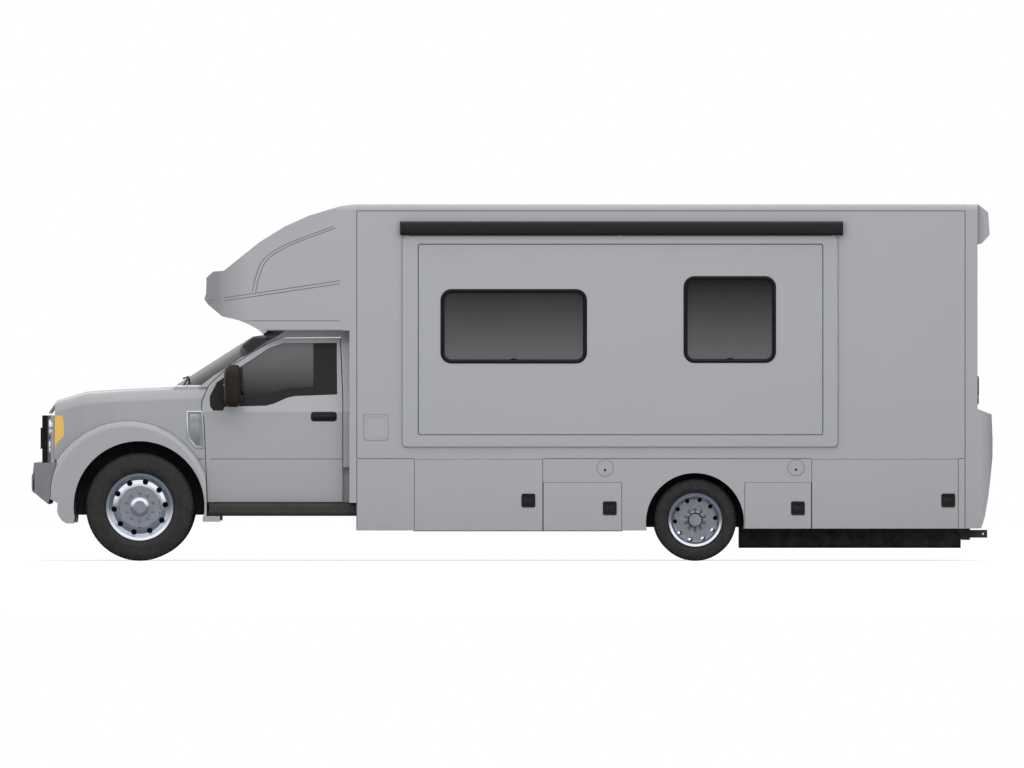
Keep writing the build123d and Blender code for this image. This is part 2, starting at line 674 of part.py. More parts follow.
export_step(front_fenders.part, "parts/front_fenders.step")

# Hood: crowned skin hinged at its rear edge on a rolled bead along the cowl
hood_bead_r = 14.0
hood_axis_x = cowl_front_x - fit - hood_bead_r
hood_axis_z = clip_stations[0][1] - hood_bead_r - hood_crown
with BuildPart() as hood:
    for front, rear in zip(clip_stations[1:], clip_stations[:-1]):
        faces = []
        for x, z, half, side, depth in (rear, front):
            with BuildSketch(Plane.YZ.offset(x)) as section:
                with BuildLine():
                    ThreePointArc((-half, z - hood_crown), (0, z), (half, z - hood_crown))
                    ThreePointArc((-half, z - hood_crown - depth), (0, z - depth),
                                  (half, z - hood_crown - depth))
                    Line((-half, z - hood_crown), (-half, z - hood_crown - depth))
                    Line((half, z - hood_crown), (half, z - hood_crown - depth))
                make_face()
            faces.append(section.sketch)
        loft(sections=faces, ruled=True)
    across(hood_axis_x, hood_axis_z, hood_bead_r, -clip_stations[0][2], clip_stations[0][2])
hood.part.label = "hood"
export_step(hood.part, "parts/hood.step")

# Wheel house liners: arches in the front clip, closed on their inner side
with BuildPart() as front_liners:
    across(arch_x, arch_z, arch_r + liner_gauge, -flare_inner_y, -wheel_house_y + liner_gauge)
    across(arch_x, arch_z, arch_r, -flare_half, -wheel_house_y, mode=Mode.SUBTRACT)
    block((-5000, -2900), (-wheel_house_y, liner_trim - wheel_house_y), (-200, floor_z + 10),
          mode=Mode.SUBTRACT)
    side_prism(fender_outline, -flare_half, liner_trim - wheel_house_y, mode=Mode.INTERSECT)

# Cab doors with their glass, and the mirror, sail and handle that each one carries
door_inner_y = cab_half - 210.0
pane_gauge = 6.0
pane_depth = 24.0
with BuildPart() as cab_door_left:
    side_prism(door_outline, -cab_half - 50, -door_inner_y)
    cab_section(0, mode=Mode.INTERSECT)
    cab_section(door_gauge, mode=Mode.SUBTRACT)
    side_prism(glass_outline, -cab_half - 50, -door_inner_y, mode=Mode.SUBTRACT)
    for z in door_hinge_zs:
        block((-3040, door_axis_x + 25), (-door_pocket_y[1], -door_pocket_y[0]),
              (z - hinge_half, z + hinge_half), mode=Mode.SUBTRACT)
        with Locations((door_axis_x, -door_axis_y, z)):
            Cylinder(door_bead_r, 2 * hinge_half)
cab_door_left.part.label = "cab_door_left"
export_step(cab_door_left.part, "parts/cab_door_left.step")

with BuildPart() as cab_glass_left:
    side_prism(glass_outline, -cab_half - 50, -door_inner_y, grow=-fit)
    cab_section(pane_depth, mode=Mode.INTERSECT)
    cab_section(pane_depth + pane_gauge, mode=Mode.SUBTRACT)
cab_glass_left.part.label = "cab_glass_left"
export_step(cab_glass_left.part, "parts/cab_glass_left.step")

mirror_x = (-2798.0, -2609.0)
mirror_y = (cab_half + 170.0, cab_half + 440.0)
mirror_z = (1496.0, 1904.0)
mirror_round = 40.0
mirror_arm_x = (-2840.0, -2770.0)
mirror_arm_height = 26.0
#              z,   root y
mirror_arms = [(1570.0, cab_half - 14.0), (1735.0, cab_half - 41.0)]
sail_gauge = 8.0
handle_x = (-1957.0, -1703.0)
handle_z = (1356.0, 1450.0)
handle_proud = 16.0
with BuildPart() as mirror_sail:
    side_prism(sail_outline, -cab_half - 50, -door_inner_y)
    cab_section(-sail_gauge, mode=Mode.INTERSECT)
    cab_section(0, mode=Mode.SUBTRACT)

with BuildPart() as mirror_head:
    block(mirror_x, (-mirror_y[1], -mirror_y[0]), mirror_z)
    fillet(mirror_head.edges(), radius=mirror_round)

with BuildPart() as door_fittings_left:
    add(mirror_sail.part)
    add(mirror_head.part)
    for z, root_y in mirror_arms:
        block(mirror_arm_x, (-mirror_y[0] - mirror_round, -root_y),
              (z - mirror_arm_height / 2, z + mirror_arm_height / 2))
    rounded_window(handle_x, handle_z, 20.0, -cab_half, -cab_half - handle_proud)
door_fittings_left.part.label = "door_fittings_left"
export_step(door_fittings_left.part, "parts/door_fittings_left.step")

with BuildPart() as cab_door_right:
    add(mirror(cab_door_left.part, about=Plane.XZ))
cab_door_right.part.label = "cab_door_right"
export_step(cab_door_right.part, "parts/cab_door_right.step")

with BuildPart() as cab_glass_right:
    add(mirror(cab_glass_left.part, about=Plane.XZ))
cab_glass_right.part.label = "cab_glass_right"
export_step(cab_glass_right.part, "parts/cab_glass_right.step")

with BuildPart() as door_fittings_right:
    add(mirror(door_fittings_left.part, about=Plane.XZ))
door_fittings_right.part.label = "door_fittings_right"
export_step(door_fittings_right.part, "parts/door_fittings_right.step")

# Grille: frame, louvres and the proud band across its middle
grille_x = (-4578.0, -4512.0)
grille_half = cab_half - 450.0
grille_z = (955.0 + fit, 1414.0)
grille_frame = 40.0
grille_band_z = (1089.0, 1293.0)
grille_band_x = -4594.0
louvre_height = 14.0
louvre_zs = (1036.0, 1346.0)
band_slot_zs = (1140.0, 1191.0, 1242.0)
grille_bar_ys = (-280.0, 0.0, 280.0)
grille_bar_half = 8.0
with BuildPart() as grille:
    block(grille_x, (-grille_half, grille_half), grille_z)
    block(grille_x, (-grille_half + grille_frame, grille_half - grille_frame),
          (grille_z[0] + grille_frame, grille_z[1] - grille_frame), mode=Mode.SUBTRACT)
    for z in louvre_zs:
        block((grille_x[0] + 12, grille_x[1]), (-grille_half + grille_frame, grille_half - grille_frame),
              (z - louvre_height / 2, z + louvre_height / 2))
    block((grille_band_x, grille_x[1]), (-grille_half + 30, grille_half - 30), grille_band_z)
    for z in band_slot_zs:
        block((grille_band_x, grille_x[1]), (-grille_half + 60, grille_half - 60),
              (z - louvre_height, z + louvre_height), mode=Mode.SUBTRACT)
    for y in grille_bar_ys:
        block((grille_x[0] + 16, grille_x[1]), (y - grille_bar_half, y + grille_bar_half),
              (grille_z[0] + grille_frame, grille_z[1] - grille_frame))
grille.part.label = "grille"
export_step(grille.part, "parts/grille.step")

# Head lamps at the front corners, with amber lamps wrapped round onto the fenders
lamp_rear_x = fender_front_x
lamp_side_y = cab_half - 105.0
lamp_outline = [(-4527, -grille_half), (lamp_rear_x, -grille_half), (lamp_rear_x, -lamp_side_y),
                (-4490, -lamp_side_y), (-4516, -820)]
with BuildPart() as headlamps:
    with BuildSketch(Plane.XY.offset(grille_z[0])):
        with BuildLine():
            Polyline(*lamp_outline, close=True)
        make_face()
    extrude(amount=grille_z[1] - grille_z[0])
    mirror(about=Plane.XZ)
headlamps.part.label = "headlamps"
export_step(headlamps.part, "parts/headlamps.step")

marker_outline = [(-4448, 1413), (-4374, 1413), (-4360, 1350), (-4356, 1238), (-4362, 1211),
                  (-4425, 1146), (-4448, 1097)]
marker_proud = 6.0
marker_reach = (90.0, 210.0)
with BuildPart() as marker_skin:
    fender_form(-marker_proud)

with BuildPart() as marker_lamps:
    side_prism(marker_outline, -cab_half - marker_reach[0], marker_reach[1] - cab_half)
    add(marker_skin.part, mode=Mode.INTERSECT)
    add(fender_skin.part, mode=Mode.SUBTRACT)
    mirror(about=Plane.XZ)
marker_lamps.part.label = "marker_lamps"
export_step(marker_lamps.part, "parts/marker_lamps.step")

# Front bumper: bright channel with rounded corners, its dark valance and its brackets
bumper_outline = [(-4648, 955), (-4430, 955), (-4462, 848), (-4486, 736), (-4490, 634),
                  (-4504, 552), (-4602, 630), (-4669, 680), (front_x, 755), (-4657, 867)]
bumper_half = cab_half + 205.0
bumper_gauge = 14.0
bumper_corner_r = 150.0
bracket_y = (rail_half_width - 52.0, rail_half_width)
bracket_z = (700.0, 880.0)
with BuildPart() as bumper_plan:
    with BuildSketch():
        with Locations(((front_x - 4230) / 2, 0)):
            RectangleRounded(-4230 - front_x, 2 * bumper_half, bumper_corner_r)
    extrude(amount=1200)

with BuildPart() as front_bumper:
    side_prism(bumper_outline, -bumper_half, bumper_half)
    side_prism(bumper_outline, -bumper_half + 60, bumper_half - 60, grow=-bumper_gauge,
               mode=Mode.SUBTRACT)
    block((-4500, -4400), (-bumper_half + 60, bumper_half - 60), (500, 955 - bumper_gauge),
          mode=Mode.SUBTRACT)
    add(bumper_plan.part, mode=Mode.INTERSECT)
    for y0, y1 in (bracket_y, (-bracket_y[1], -bracket_y[0])):
        block((front_x + 40, rail_front_x), (y0, y1), bracket_z)
front_bumper.part.label = "front_bumper"
export_step(front_bumper.part, "parts/front_bumper.step")

# Running boards below the cab doors, hung on the cab's sills
step_x = (-2944.0, house_front_x - 1.0)
step_y = (cab_half - 165.0, cab_half + 150.0)
step_z = (437.0, step_top_z)
step_gauge = 16.0
with BuildPart() as side_steps:
    block(step_x, (-step_y[1], -step_y[0]), step_z)
    fillet(side_steps.edges().filter_by(Axis.X).group_by(Axis.Y)[0], radius=40)
    block((step_x[0] + step_gauge, step_x[1] - step_gauge),
          (-step_y[1] + 60, -step_y[0] - step_gauge),
          (step_z[0] - 1, step_z[1] - step_gauge), mode=Mode.SUBTRACT)
    mirror(about=Plane.XZ)
side_steps.part.label = "side_steps"
export_step(side_steps.part, "parts/side_steps.step")

# Dashboard with the steering column and wheel on the left
dash_half = cab_half - 165.0
dash_front_x = firewall_x + firewall_gauge + fit
dash_outline = [(dash_front_x, 1180), (dash_front_x, 1500), (-3110, 1560), (-2880, 1550), (-2800, 1500),
                (-2790, 1400), (-2960, 1180)]
hand_wheel_y = -430.0
hand_wheel_r = 210.0
hand_wheel_tilt = 62.0
hand_wheel_x = -2640.0
hand_wheel_z = 1520.0
rim_r = 16.0
wheel_hub_r = 60.0
column_r = 32.0
column_length = 340.0
with BuildPart() as dashboard:
    side_prism(dash_outline, -dash_half, dash_half)
    hub = Location((hand_wheel_x, hand_wheel_y, hand_wheel_z), (0, hand_wheel_tilt, 0))
    with Locations(hub):
        Torus(hand_wheel_r, rim_r)
        Cylinder(wheel_hub_r, 30)
        Box(2 * hand_wheel_r, 40, 20)
        with Locations((0, 0, -column_length / 2)):
            Cylinder(column_r, column_length)
dashboard.part.label = "dashboard"
export_step(dashboard.part, "parts/dashboard.step")

# Cab seats: cushion and back on a plinth on each side
seat_half = 260.0
seat_y = cab_half - 530.0
plinth_x = (-2420.0, -1960.0)
cushion_x = (-2480.0, -1900.0)
cushion_z = (1230.0, 1370.0)
seat_back = [(cushion_x[1] - 110, cushion_z[1]), (cushion_x[1], cushion_z[1]), (-1760, 2010), (-1860, 2030)]
with BuildPart() as cab_seats:
    for y in (-seat_y, seat_y):
        block(plinth_x, (y - seat_half + 60, y + seat_half - 60), (cab_floor_z, cushion_z[0]))
        block(cushion_x, (y - seat_half, y + seat_half), cushion_z)
        side_prism(seat_back, y - seat_half, y + seat_half)
cab_seats.part.label = "cab_seats"
export_step(cab_seats.part, "parts/cab_seats.step")

# Rear wheel arch, and the liners of all four wheel houses
rear_arch_x = 1778.0
rear_arch_z = 379.0
rear_arch_r = 476.0
rear_house_y = 655.0
axle_slot_half = axle_tube_r + 35.0
with BuildPart() as wheel_liners:
    add(front_liners.part)
    across(rear_arch_x, rear_arch_z, rear_arch_r + liner_gauge, -skirt_inner_y, -rear_house_y + liner_gauge)
    across(rear_arch_x, rear_arch_z, rear_arch_r, -skirt_inner_y, -rear_house_y, mode=Mode.SUBTRACT)
    block((rear_arch_x - rear_arch_r - 60, rear_arch_x + rear_arch_r + 60), (-half_house, -rear_house_y + 60),
          (-200, skirt_rear_z + 10), mode=Mode.SUBTRACT)
    block((rear_wheel_x - axle_slot_half, rear_wheel_x + axle_slot_half), (-rear_house_y, -rear_house_y + 60),
          (0, rear_tyre_r + axle_slot_half), mode=Mode.SUBTRACT)
    mirror(about=Plane.XZ)
wheel_liners.part.label = "wheel_liners"
export_step(wheel_liners.part, "parts/wheel_liners.step")

# Coach floor with the runners of the slide-out room and the well inside the entry door
door_x = (-1250.0, -560.0)
door_z = (560.0, 2600.0)
well_y = 700.0
well_gauge = 12.0
tread_y = 960.0
tread_z = 775.0
slide_hole_x = (-1030.0, 3129.0)
slide_hole_z = (1146.0, 3124.0)
slide_seal = 12.0
slide_room_x = (slide_hole_x[0] + slide_seal, slide_hole_x[1] - slide_seal)
slide_room_z = (slide_hole_z[0] + slide_seal, slide_hole_z[1] - slide_seal)
slide_inner_y = 370.0
runner_xs = (100.0, 1900.0)
runner_width = 60.0
with BuildPart() as coach_floor:
    block((house_front_x, cap_joint_x), (-floor_half_y, floor_half_y), (floor_z, waist_z))
    block((cap_joint_x, rear_wall_x - wall_gauge), (-wall_inner_y, wall_inner_y), (floor_z, waist_z))
    block(door_x, (well_y, floor_half_y), (floor_z, waist_z), mode=Mode.SUBTRACT)
    block((door_x[0] - well_gauge, door_x[1] + well_gauge), (well_y - well_gauge, floor_half_y),
          (door_z[0] - well_gauge, floor_z))
    block(door_x, (well_y, floor_half_y + 1), (door_z[0], floor_z + 1), mode=Mode.SUBTRACT)
    block(door_x, (well_y, tread_y), (door_z[0], tread_z))
    for x in runner_xs:
        block((x, x + runner_width), (-wall_inner_y, -slide_inner_y + 60), (waist_z, slide_room_z[0] - fit))
coach_floor.part.label = "coach_floor"
export_step(coach_floor.part, "parts/coach_floor.step")

# Windows as framed units; x limits, z limits
window_r = 107.0
window_frame = 34.0
window_proud = 8.0
window_lip = 10.0
window_depth = 38.0
slide_windows_at = [((-695, 729), (1919, 2643)), ((1666, 2565), (1924, 2769))]
right_windows_at = [((250, 1450), (1919, 2643)), ((2350, 3250), (1919, 2643))]


def inset(limits, by):
    """Two limits drawn in at both ends."""
    return (limits[0] + by, limits[1] - by)


def window_unit(x, z, face_y, side):
    """Frame that laps the wall's face, its lining through the wall and its pane."""
    lip = window_lip + fit
    rounded_window(x, z, window_r, side * face_y, side * (face_y + window_proud))
    rounded_window(inset(x, lip), inset(z, lip), window_r - lip,
                   side * (face_y - window_depth), side * face_y)
    sight = window_frame
    for near, far in ((face_y - window_depth, face_y - 20), (face_y - 14, face_y + window_proud)):
        rounded_window(inset(x, sight), inset(z, sight), window_r - sight,
                       side * near, side * far, mode=Mode.SUBTRACT)


def window_hole(x, z, near, far):
    """Hole in a wall for a framed unit."""
    rounded_window(inset(x, window_lip), inset(z, window_lip), window_r - window_lip,
                   near, far, mode=Mode.SUBTRACT)


# Side walls of the coach, the left one with a screwed service cover
cover_x = (-1438.0, -1205.0)
cover_z = (1176.0, 1423.0)
cover_r = 22.0
cover_proud = 7.0
with BuildPart() as left_wall:
    block((house_front_x, cap_joint_x), (-half_house, -wall_inner_y), (waist_z, roof_joint_z))
    block(slide_hole_x, (-half_house, -wall_inner_y), slide_hole_z, mode=Mode.SUBTRACT)
    rounded_window(cover_x, cover_z, cover_r, -half_house - cover_proud, -half_house)
    rounded_window(inset(cover_x, 22), inset(cover_z, 22), cover_r - 8,
                   -half_house - cover_proud, -half_house - 2, mode=Mode.SUBTRACT)
    rounded_window(inset(cover_x, 28), inset(cover_z, 28), cover_r - 12,
                   -half_house - cover_proud + 1, -half_house)
left_wall.part.label = "left_wall"
export_step(left_wall.part, "parts/left_wall.step")

with BuildPart() as right_wall:
    block((house_front_x, cap_joint_x), (wall_inner_y, half_house), (waist_z, roof_joint_z))
    block(door_x, (wall_inner_y, half_house), (waist_z, door_z[1]), mode=Mode.SUBTRACT)
    for x, z in right_windows_at:
        window_hole(x, z, wall_inner_y, half_house)
right_wall.part.label = "right_wall"
export_step(right_wall.part, "parts/right_wall.step")

# Windows of the right wall and the rear cap
with BuildPart() as coach_windows:
    for x, z in right_windows_at:
        window_unit(x, z, half_house, 1)
coach_windows.part.label = "coach_windows"
export_step(coach_windows.part, "parts/coach_windows.step")

# Roof: crowned slab with rounded edges, on top of the walls
roof_crown = 12.0
roof_edge_r = 46.0


def roof_section(low_z):
    """Half cross-section of the roof line, from its middle to the outer face of the wall."""
    top = roof_z - roof_crown
    with BuildLine() as half:
        ThreePointArc((-half_house + roof_edge_r, top), (0, roof_z), (half_house - roof_edge_r, top))
        for s in (-1, 1):
            ThreePointArc((s * (half_house - roof_edge_r), top),
                          (s * (half_house - roof_edge_r * 0.29), top - roof_edge_r * 0.29),
                          (s * half_house, top - roof_edge_r))
            Line((s * half_house, top - roof_edge_r), (s * half_house, low_z))
        Line((-half_house, low_z), (half_house, low_z))
    return half.line


with BuildPart() as roof_panel:
    with BuildSketch(Plane.YZ.offset(house_front_x)):
        with BuildLine():
            add(roof_section(roof_joint_z))
        make_face()
    extrude(amount=cap_joint_x - house_front_x)
roof_panel.part.label = "roof_panel"
export_step(roof_panel.part, "parts/roof_panel.step")

# Front cap: bunk over the cab with a rounded nose, and the coach's front wall below it
cap_gauge = 45.0
cap_low_z = cab_top_z
cap_outline = [
    (house_front_x, cap_low_z), (-2372, cap_low_z), (-2420, 2203), (-2458, 2244), (-2553, 2297),
    (-2658, 2340), (-2817, 2377), (-2964, 2497), (-3004, 2550), (-2983, 2597), (-2978, 2756),
    (-2906, 2814), (-2801, 2821), (-2448, 3103), (-2206, 3251), (-1974, 3356), (-1679, 3445),
    (house_front_x, roof_z),
]
nose_x = -3004.0
nose_shoulder = (-2905.0, 940.0)
nose_corner = (-2800.0, 1175.0)
nose_flank_x = -2560.0
walk_half = 560.0
walk_z = (waist_z, 2120.0)
leg_y = 880.0


def nose_plan(inner, mode=Mode.ADD):
    """Plan of the cap: flat flanks, rounded corners and a bowed nose, drawn in by an inset."""
    half = half_house - inner
    with BuildSketch(Plane.XY.offset(cap_low_z - 100)) as plan:
        with BuildLine():
            ThreePointArc((nose_shoulder[0] + inner, -nose_shoulder[1] + inner / 2), (nose_x + inner, 0),
                          (nose_shoulder[0] + inner, nose_shoulder[1] - inner / 2))
            for s in (-1, 1):
                ThreePointArc((nose_shoulder[0] + inner, s * (nose_shoulder[1] - inner / 2)),
                              (nose_corner[0] + inner * 0.7, s * (nose_corner[1] - inner * 0.7)),
                              (nose_flank_x, s * half))
                Line((nose_flank_x, s * half), (house_front_x, s * half))
            Line((house_front_x, -half), (house_front_x, half))
        make_face()
    extrude(plan.sketch, amount=roof_z - cap_low_z + 200, mode=mode)


with BuildPart() as bunk_space:
    side_prism(cap_outline, -half_house, half_house, grow=-cap_gauge)
    nose_plan(cap_gauge, mode=Mode.INTERSECT)

with BuildPart() as front_cap:
    with BuildSketch(Plane.YZ.offset(nose_x)):
        with BuildLine():
            add(roof_section(cap_low_z - 60))
        make_face()
    extrude(amount=house_front_x - nose_x)
    side_prism(cap_outline, -half_house, half_house, mode=Mode.INTERSECT)
    nose_plan(0, mode=Mode.INTERSECT)
    add(bunk_space.part, mode=Mode.SUBTRACT)
    block((house_front_x - 2 * cap_gauge, house_front_x), (-wall_inner_y, wall_inner_y),
          (cap_low_z + cap_gauge, roof_joint_z), mode=Mode.SUBTRACT)
    block((cab_rear_x, house_front_x), (-half_house, half_house), (waist_z, cap_low_z))
    for s in (-1, 1):
        block((cab_rear_x, house_front_x), sorted((s * leg_y, s * half_house)), (step_top_z, waist_z))
    block((cab_rear_x, house_front_x), (-walk_half, walk_half), walk_z, mode=Mode.SUBTRACT)
front_cap.part.label = "front_cap"
export_step(front_cap.part, "parts/front_cap.step")

# Rear cap: back wall with side returns, a visor above and a deep skirt moulding below
visor_outline = [(4523, 3470), (4528, 3468), (4629, 3388), (4643, 3170), (4568, 3087), (4523, 3082)]
moulding_outline = [(4523, 1478), (4661, 1425), (rear_x, 1174), (4670, 1010), (4652, 827),
                    (4631, 645), (4596, 436), (4561, 320), (4523, 316)]
rear_corner_r = 110.0
visor_half = 1180.0
with BuildPart() as rear_plan:
    with BuildSketch():
        with Locations(((rear_x + 3600) / 2, 0)):
            RectangleRounded(rear_x - 3600, house_width, rear_corner_r)
    extrude(amount=roof_z + 100)

with BuildPart() as rear_cap:
    with BuildSketch(Plane.YZ.offset(cap_joint_x)):
        with BuildLine():
            add(roof_section(skirt_rear_z))
        make_face()
    extrude(amount=rear_wall_x - cap_joint_x)
    block((cap_joint_x, rear_wall_x - wall_gauge), (-wall_inner_y, wall_inner_y),
          (skirt_rear_z, roof_joint_z), mode=Mode.SUBTRACT)
    side_prism(visor_outline, -visor_half, visor_half)
    side_prism(moulding_outline, -half_house, half_house)
    add(rear_plan.part, mode=Mode.INTERSECT)
rear_cap.part.label = "rear_cap"
export_step(rear_cap.part, "parts/rear_cap.step")

# Lower skirts beside the storage bays, cut by the rear arch
#         first x, last x of each hatch, top z
left_hatches = [(-952.0, 301.0, waist_z), (301.0, 1069.0, 763.0), (2259.0, 2910.0, 763.0),
                (2910.0, 4338.0, waist_z)]
right_hatches = [(50.0, 1069.0, waist_z), (2910.0, 4338.0, waist_z)]
skirt_end_x = cap_joint_x
port_centres = [(904.0, 904.0), (2759.0, 908.0)]
port_r = 78.0
port_proud = 6.0


def skirt_bottom(x):
    """Lower edge of the skirt, a little higher behind the rear wheels."""
    return skirt_front_z if x < rear_arch_x else skirt_rear_z


def skirt(first_x, hatches, side):
    """Skirt from the front to the rear cap with its hatches and the rear arch left open."""
    low, high = sorted((side * skirt_inner_y, side * half_house))
    block((first_x, rear_arch_x), (low, high), (skirt_front_z, waist_z))
    block((rear_arch_x, skirt_end_x), (low, high), (skirt_rear_z, waist_z))
    across(rear_arch_x, rear_arch_z, rear_arch_r, low, high, mode=Mode.SUBTRACT)
    block((rear_arch_x - 460, rear_arch_x + 460), (low, high), (0, skirt_rear_z + 20), mode=Mode.SUBTRACT)
    for x0, x1, top_z in hatches:
        block((x0, x1), (low, high), (0, top_z), mode=Mode.SUBTRACT)


with BuildPart() as left_skirt:
    skirt(house_front_x, left_hatches, -1)
    for x, z in port_centres:
        across(x, z, port_r, -half_house - port_proud, -half_house)
        across(x, z, port_r - 8, -half_house - port_proud, -half_house - port_proud + 3,
               mode=Mode.SUBTRACT)
        across(x, z, port_r - 22, -half_house - port_proud, -half_house)
left_skirt.part.label = "left_skirt"
export_step(left_skirt.part, "parts/left_skirt.step")

with BuildPart() as right_skirt:
    skirt(house_front_x, right_hatches, 1)
    block(door_x, (skirt_inner_y, half_house), (0, waist_z), mode=Mode.SUBTRACT)
right_skirt.part.label = "right_skirt"
export_step(right_skirt.part, "parts/right_skirt.step")

# Storage hatches: leaf, hinge bead along its top edge and a square latch plate
hatch_gap = 5.2
hatch_bead_r = 8.0
hatch_bead_y = half_house - hatch_bead_r
hatch_drop = hatch_bead_r + fit
latch_half = 67.0
latch_proud = 6.0
latch_wall = 16.0


def hatch_leaf(x0, x1, top_z, side, latch):
    """Leaf between two side gaps, hung from a bead at its top edge."""
    low, high = sorted((side * skirt_inner_y, side * half_house))
    block((x0 + hatch_gap, x1 - hatch_gap), (low, high), (skirt_bottom(x0), top_z - hatch_drop))
    with BuildSketch(Plane.YZ.offset(x0 + hatch_gap)) as bead:
        with Locations((side * hatch_bead_y, top_z - hatch_drop)):
            Circle(hatch_bead_r)
    extrude(bead.sketch, amount=x1 - x0 - 2 * hatch_gap)
    face, proud = sorted((side * half_house, side * (half_house + latch_proud)))
    lx, lz = latch
    rounded_window((lx - latch_half, lx + latch_half), (lz - latch_half, lz + latch_half), 18, face, proud)
    inner = latch_half - latch_wall
    mid, far = sorted((side * (half_house - 8), side * (half_house + latch_proud)))
    rounded_window((lx - inner, lx + inner), (lz - inner, lz + inner), 10, mid, far, mode=Mode.SUBTRACT)
    near, paddle = sorted((side * (half_house - 9), side * (half_house + 3)))
    rounded_window((lx - inner + 8, lx + inner - 8), (lz - inner + 8, lz + inner - 30), 8, near, paddle)


#         name, first x, last x, top z, side, latch centre
hatch_table = [
    ("hatch_left_1", -952.0, 301.0, waist_z, -1, (159.0, 588.0)),
    ("hatch_left_2", 301.0, 1069.0, 763.0, -1, (950.0, 513.0)),
    ("hatch_left_3", 2259.0, 2910.0, 763.0, -1, (2778.0, 513.0)),
    ("hatch_left_4", 2910.0, 4338.0, waist_z, -1, (4238.0, 589.0)),
    ("hatch_right_1", 50.0, 1069.0, waist_z, 1, (190.0, 588.0)),
    ("hatch_right_2", 2910.0, 4338.0, waist_z, 1, (3052.0, 589.0)),
]
for node, x0, x1, top_z, side, latch in hatch_table:
    with BuildPart() as hatch:
        hatch_leaf(x0, x1, top_z, side, latch)
    hatch.part.label = node
    export_step(hatch.part, "parts/" + node + ".step")

# Storage bays: sheet boxes hung under the floor, open towards the hatches
bay_gauge = 12.0
bay_inner_y = 600.0
bay_z = (330.0, floor_z)
#       first x, last x, side
bays = [(-940.0, 1057.0, -1), (2290.0, 4326.0, -1), (62.0, 1057.0, 1), (2922.0, 4326.0, 1)]
bay_divider_x = 301.0
with BuildPart() as storage_bays:
    for x0, x1, side in bays:
        back, mouth = side * bay_inner_y, side * floor_half_y
        block((x0, x1), sorted((back, mouth)), bay_z)
        block((x0 + bay_gauge, x1 - bay_gauge), sorted((back + side * bay_gauge, mouth)),
              (bay_z[0] + bay_gauge, bay_z[1]), mode=Mode.SUBTRACT)
    block((bay_divider_x - bay_gauge / 2, bay_divider_x + bay_gauge / 2),
          (-floor_half_y, -bay_inner_y), bay_z)
storage_bays.part.label = "storage_bays"
export_step(storage_bays.part, "parts/storage_bays.step")

# Slide-out room: box open to the coach, with a fascia that laps the wall
slide_gauge = 40.0
slide_back_y = half_house + 6.0
fascia_x = (-1064.0, 3163.0)
fascia_z = (1112.0, 3158.0)
fascia_y = 1290.0
fascia_rim_y = 1300.0
fascia_field_x = (-918.0, 3027.0)
fascia_field_z = (1219.0, 3085.0)
with BuildPart() as slide_room:
    block(slide_room_x, (-slide_back_y, -slide_inner_y), slide_room_z)
    block(inset(slide_room_x, slide_gauge), (-slide_back_y + slide_gauge, -slide_inner_y),
          inset(slide_room_z, slide_gauge), mode=Mode.SUBTRACT)
    rounded_window(fascia_x, fascia_z, 40, -fascia_rim_y, -slide_back_y)
    rounded_window(fascia_field_x, fascia_field_z, 26, -fascia_rim_y, -fascia_y, mode=Mode.SUBTRACT)
    for x, z in slide_windows_at:
        window_hole(x, z, -fascia_y, -slide_back_y + slide_gauge)
slide_room.part.label = "slide_room"
export_step(slide_room.part, "parts/slide_room.step")

with BuildPart() as slide_windows:
    for x, z in slide_windows_at:
        window_unit(x, z, fascia_y, -1)
slide_windows.part.label = "slide_windows"
export_step(slide_windows.part, "parts/slide_windows.step")

# Roller cover over the slide-out room, on brackets at the top of the fascia
topper_x = (-1088.0, 3216.0)
topper_z = (3163.0, 3299.0)
topper_y = (1277.0, 1377.0)
topper_r = 34.0
topper_bracket_xs = (-1040.0, 1030.0, 3100.0)
topper_bracket_width = 40.0
topper_bracket_z = (3125.0, 3200.0)
with BuildPart() as slide_topper:
    with BuildSketch(Plane.YZ.offset(topper_x[0])):
        with Locations((-sum(topper_y) / 2, sum(topper_z) / 2)):
            RectangleRounded(topper_y[1] - topper_y[0], topper_z[1] - topper_z[0], topper_r)
    extrude(amount=topper_x[1] - topper_x[0])
    for x in topper_bracket_xs:
        block((x, x + topper_bracket_width), (-fascia_rim_y - 8, -fascia_rim_y),
              topper_bracket_z)
slide_topper.part.label = "slide_topper"
export_step(slide_topper.part, "parts/slide_topper.step")

# Entry door: leaf with a hinge bead, a window and a pull handle
entry_gap = 8.0
entry_bead_r = 10.0
entry_axis_x = door_x[0] + entry_bead_r + fit
entry_axis_y = half_house - entry_bead_r
entry_inner_y = 1225.0
entry_leaf_x = (entry_axis_x, door_x[1] - entry_gap)
entry_leaf_z = inset(door_z, entry_gap)
entry_pane_x = (-1130.0, -700.0)
entry_pane_z = (1660.0, 2330.0)
entry_pane_r = 70.0
entry_handle_x = -640.0
entry_handle_z = (1290.0, 1500.0)
with BuildPart() as entry_door:
    block(entry_leaf_x, (entry_inner_y, half_house), entry_leaf_z)
    with BuildSketch(Plane.XY.offset(entry_leaf_z[0])):
        with Locations((entry_axis_x, entry_axis_y)):
            Circle(entry_bead_r)
    extrude(amount=entry_leaf_z[1] - entry_leaf_z[0])
    rounded_window(entry_pane_x, entry_pane_z, entry_pane_r, entry_inner_y, half_house, mode=Mode.SUBTRACT)
    rounded_window((entry_handle_x - 34, entry_handle_x + 34), entry_handle_z, 20,
                   half_house, half_house + 8)
    rounded_window((entry_handle_x - 12, entry_handle_x + 12), inset(entry_handle_z, 22), 11,
                   half_house + 8, half_house + 30)
entry_door.part.label = "entry_door"
export_step(entry_door.part, "parts/entry_door.step")

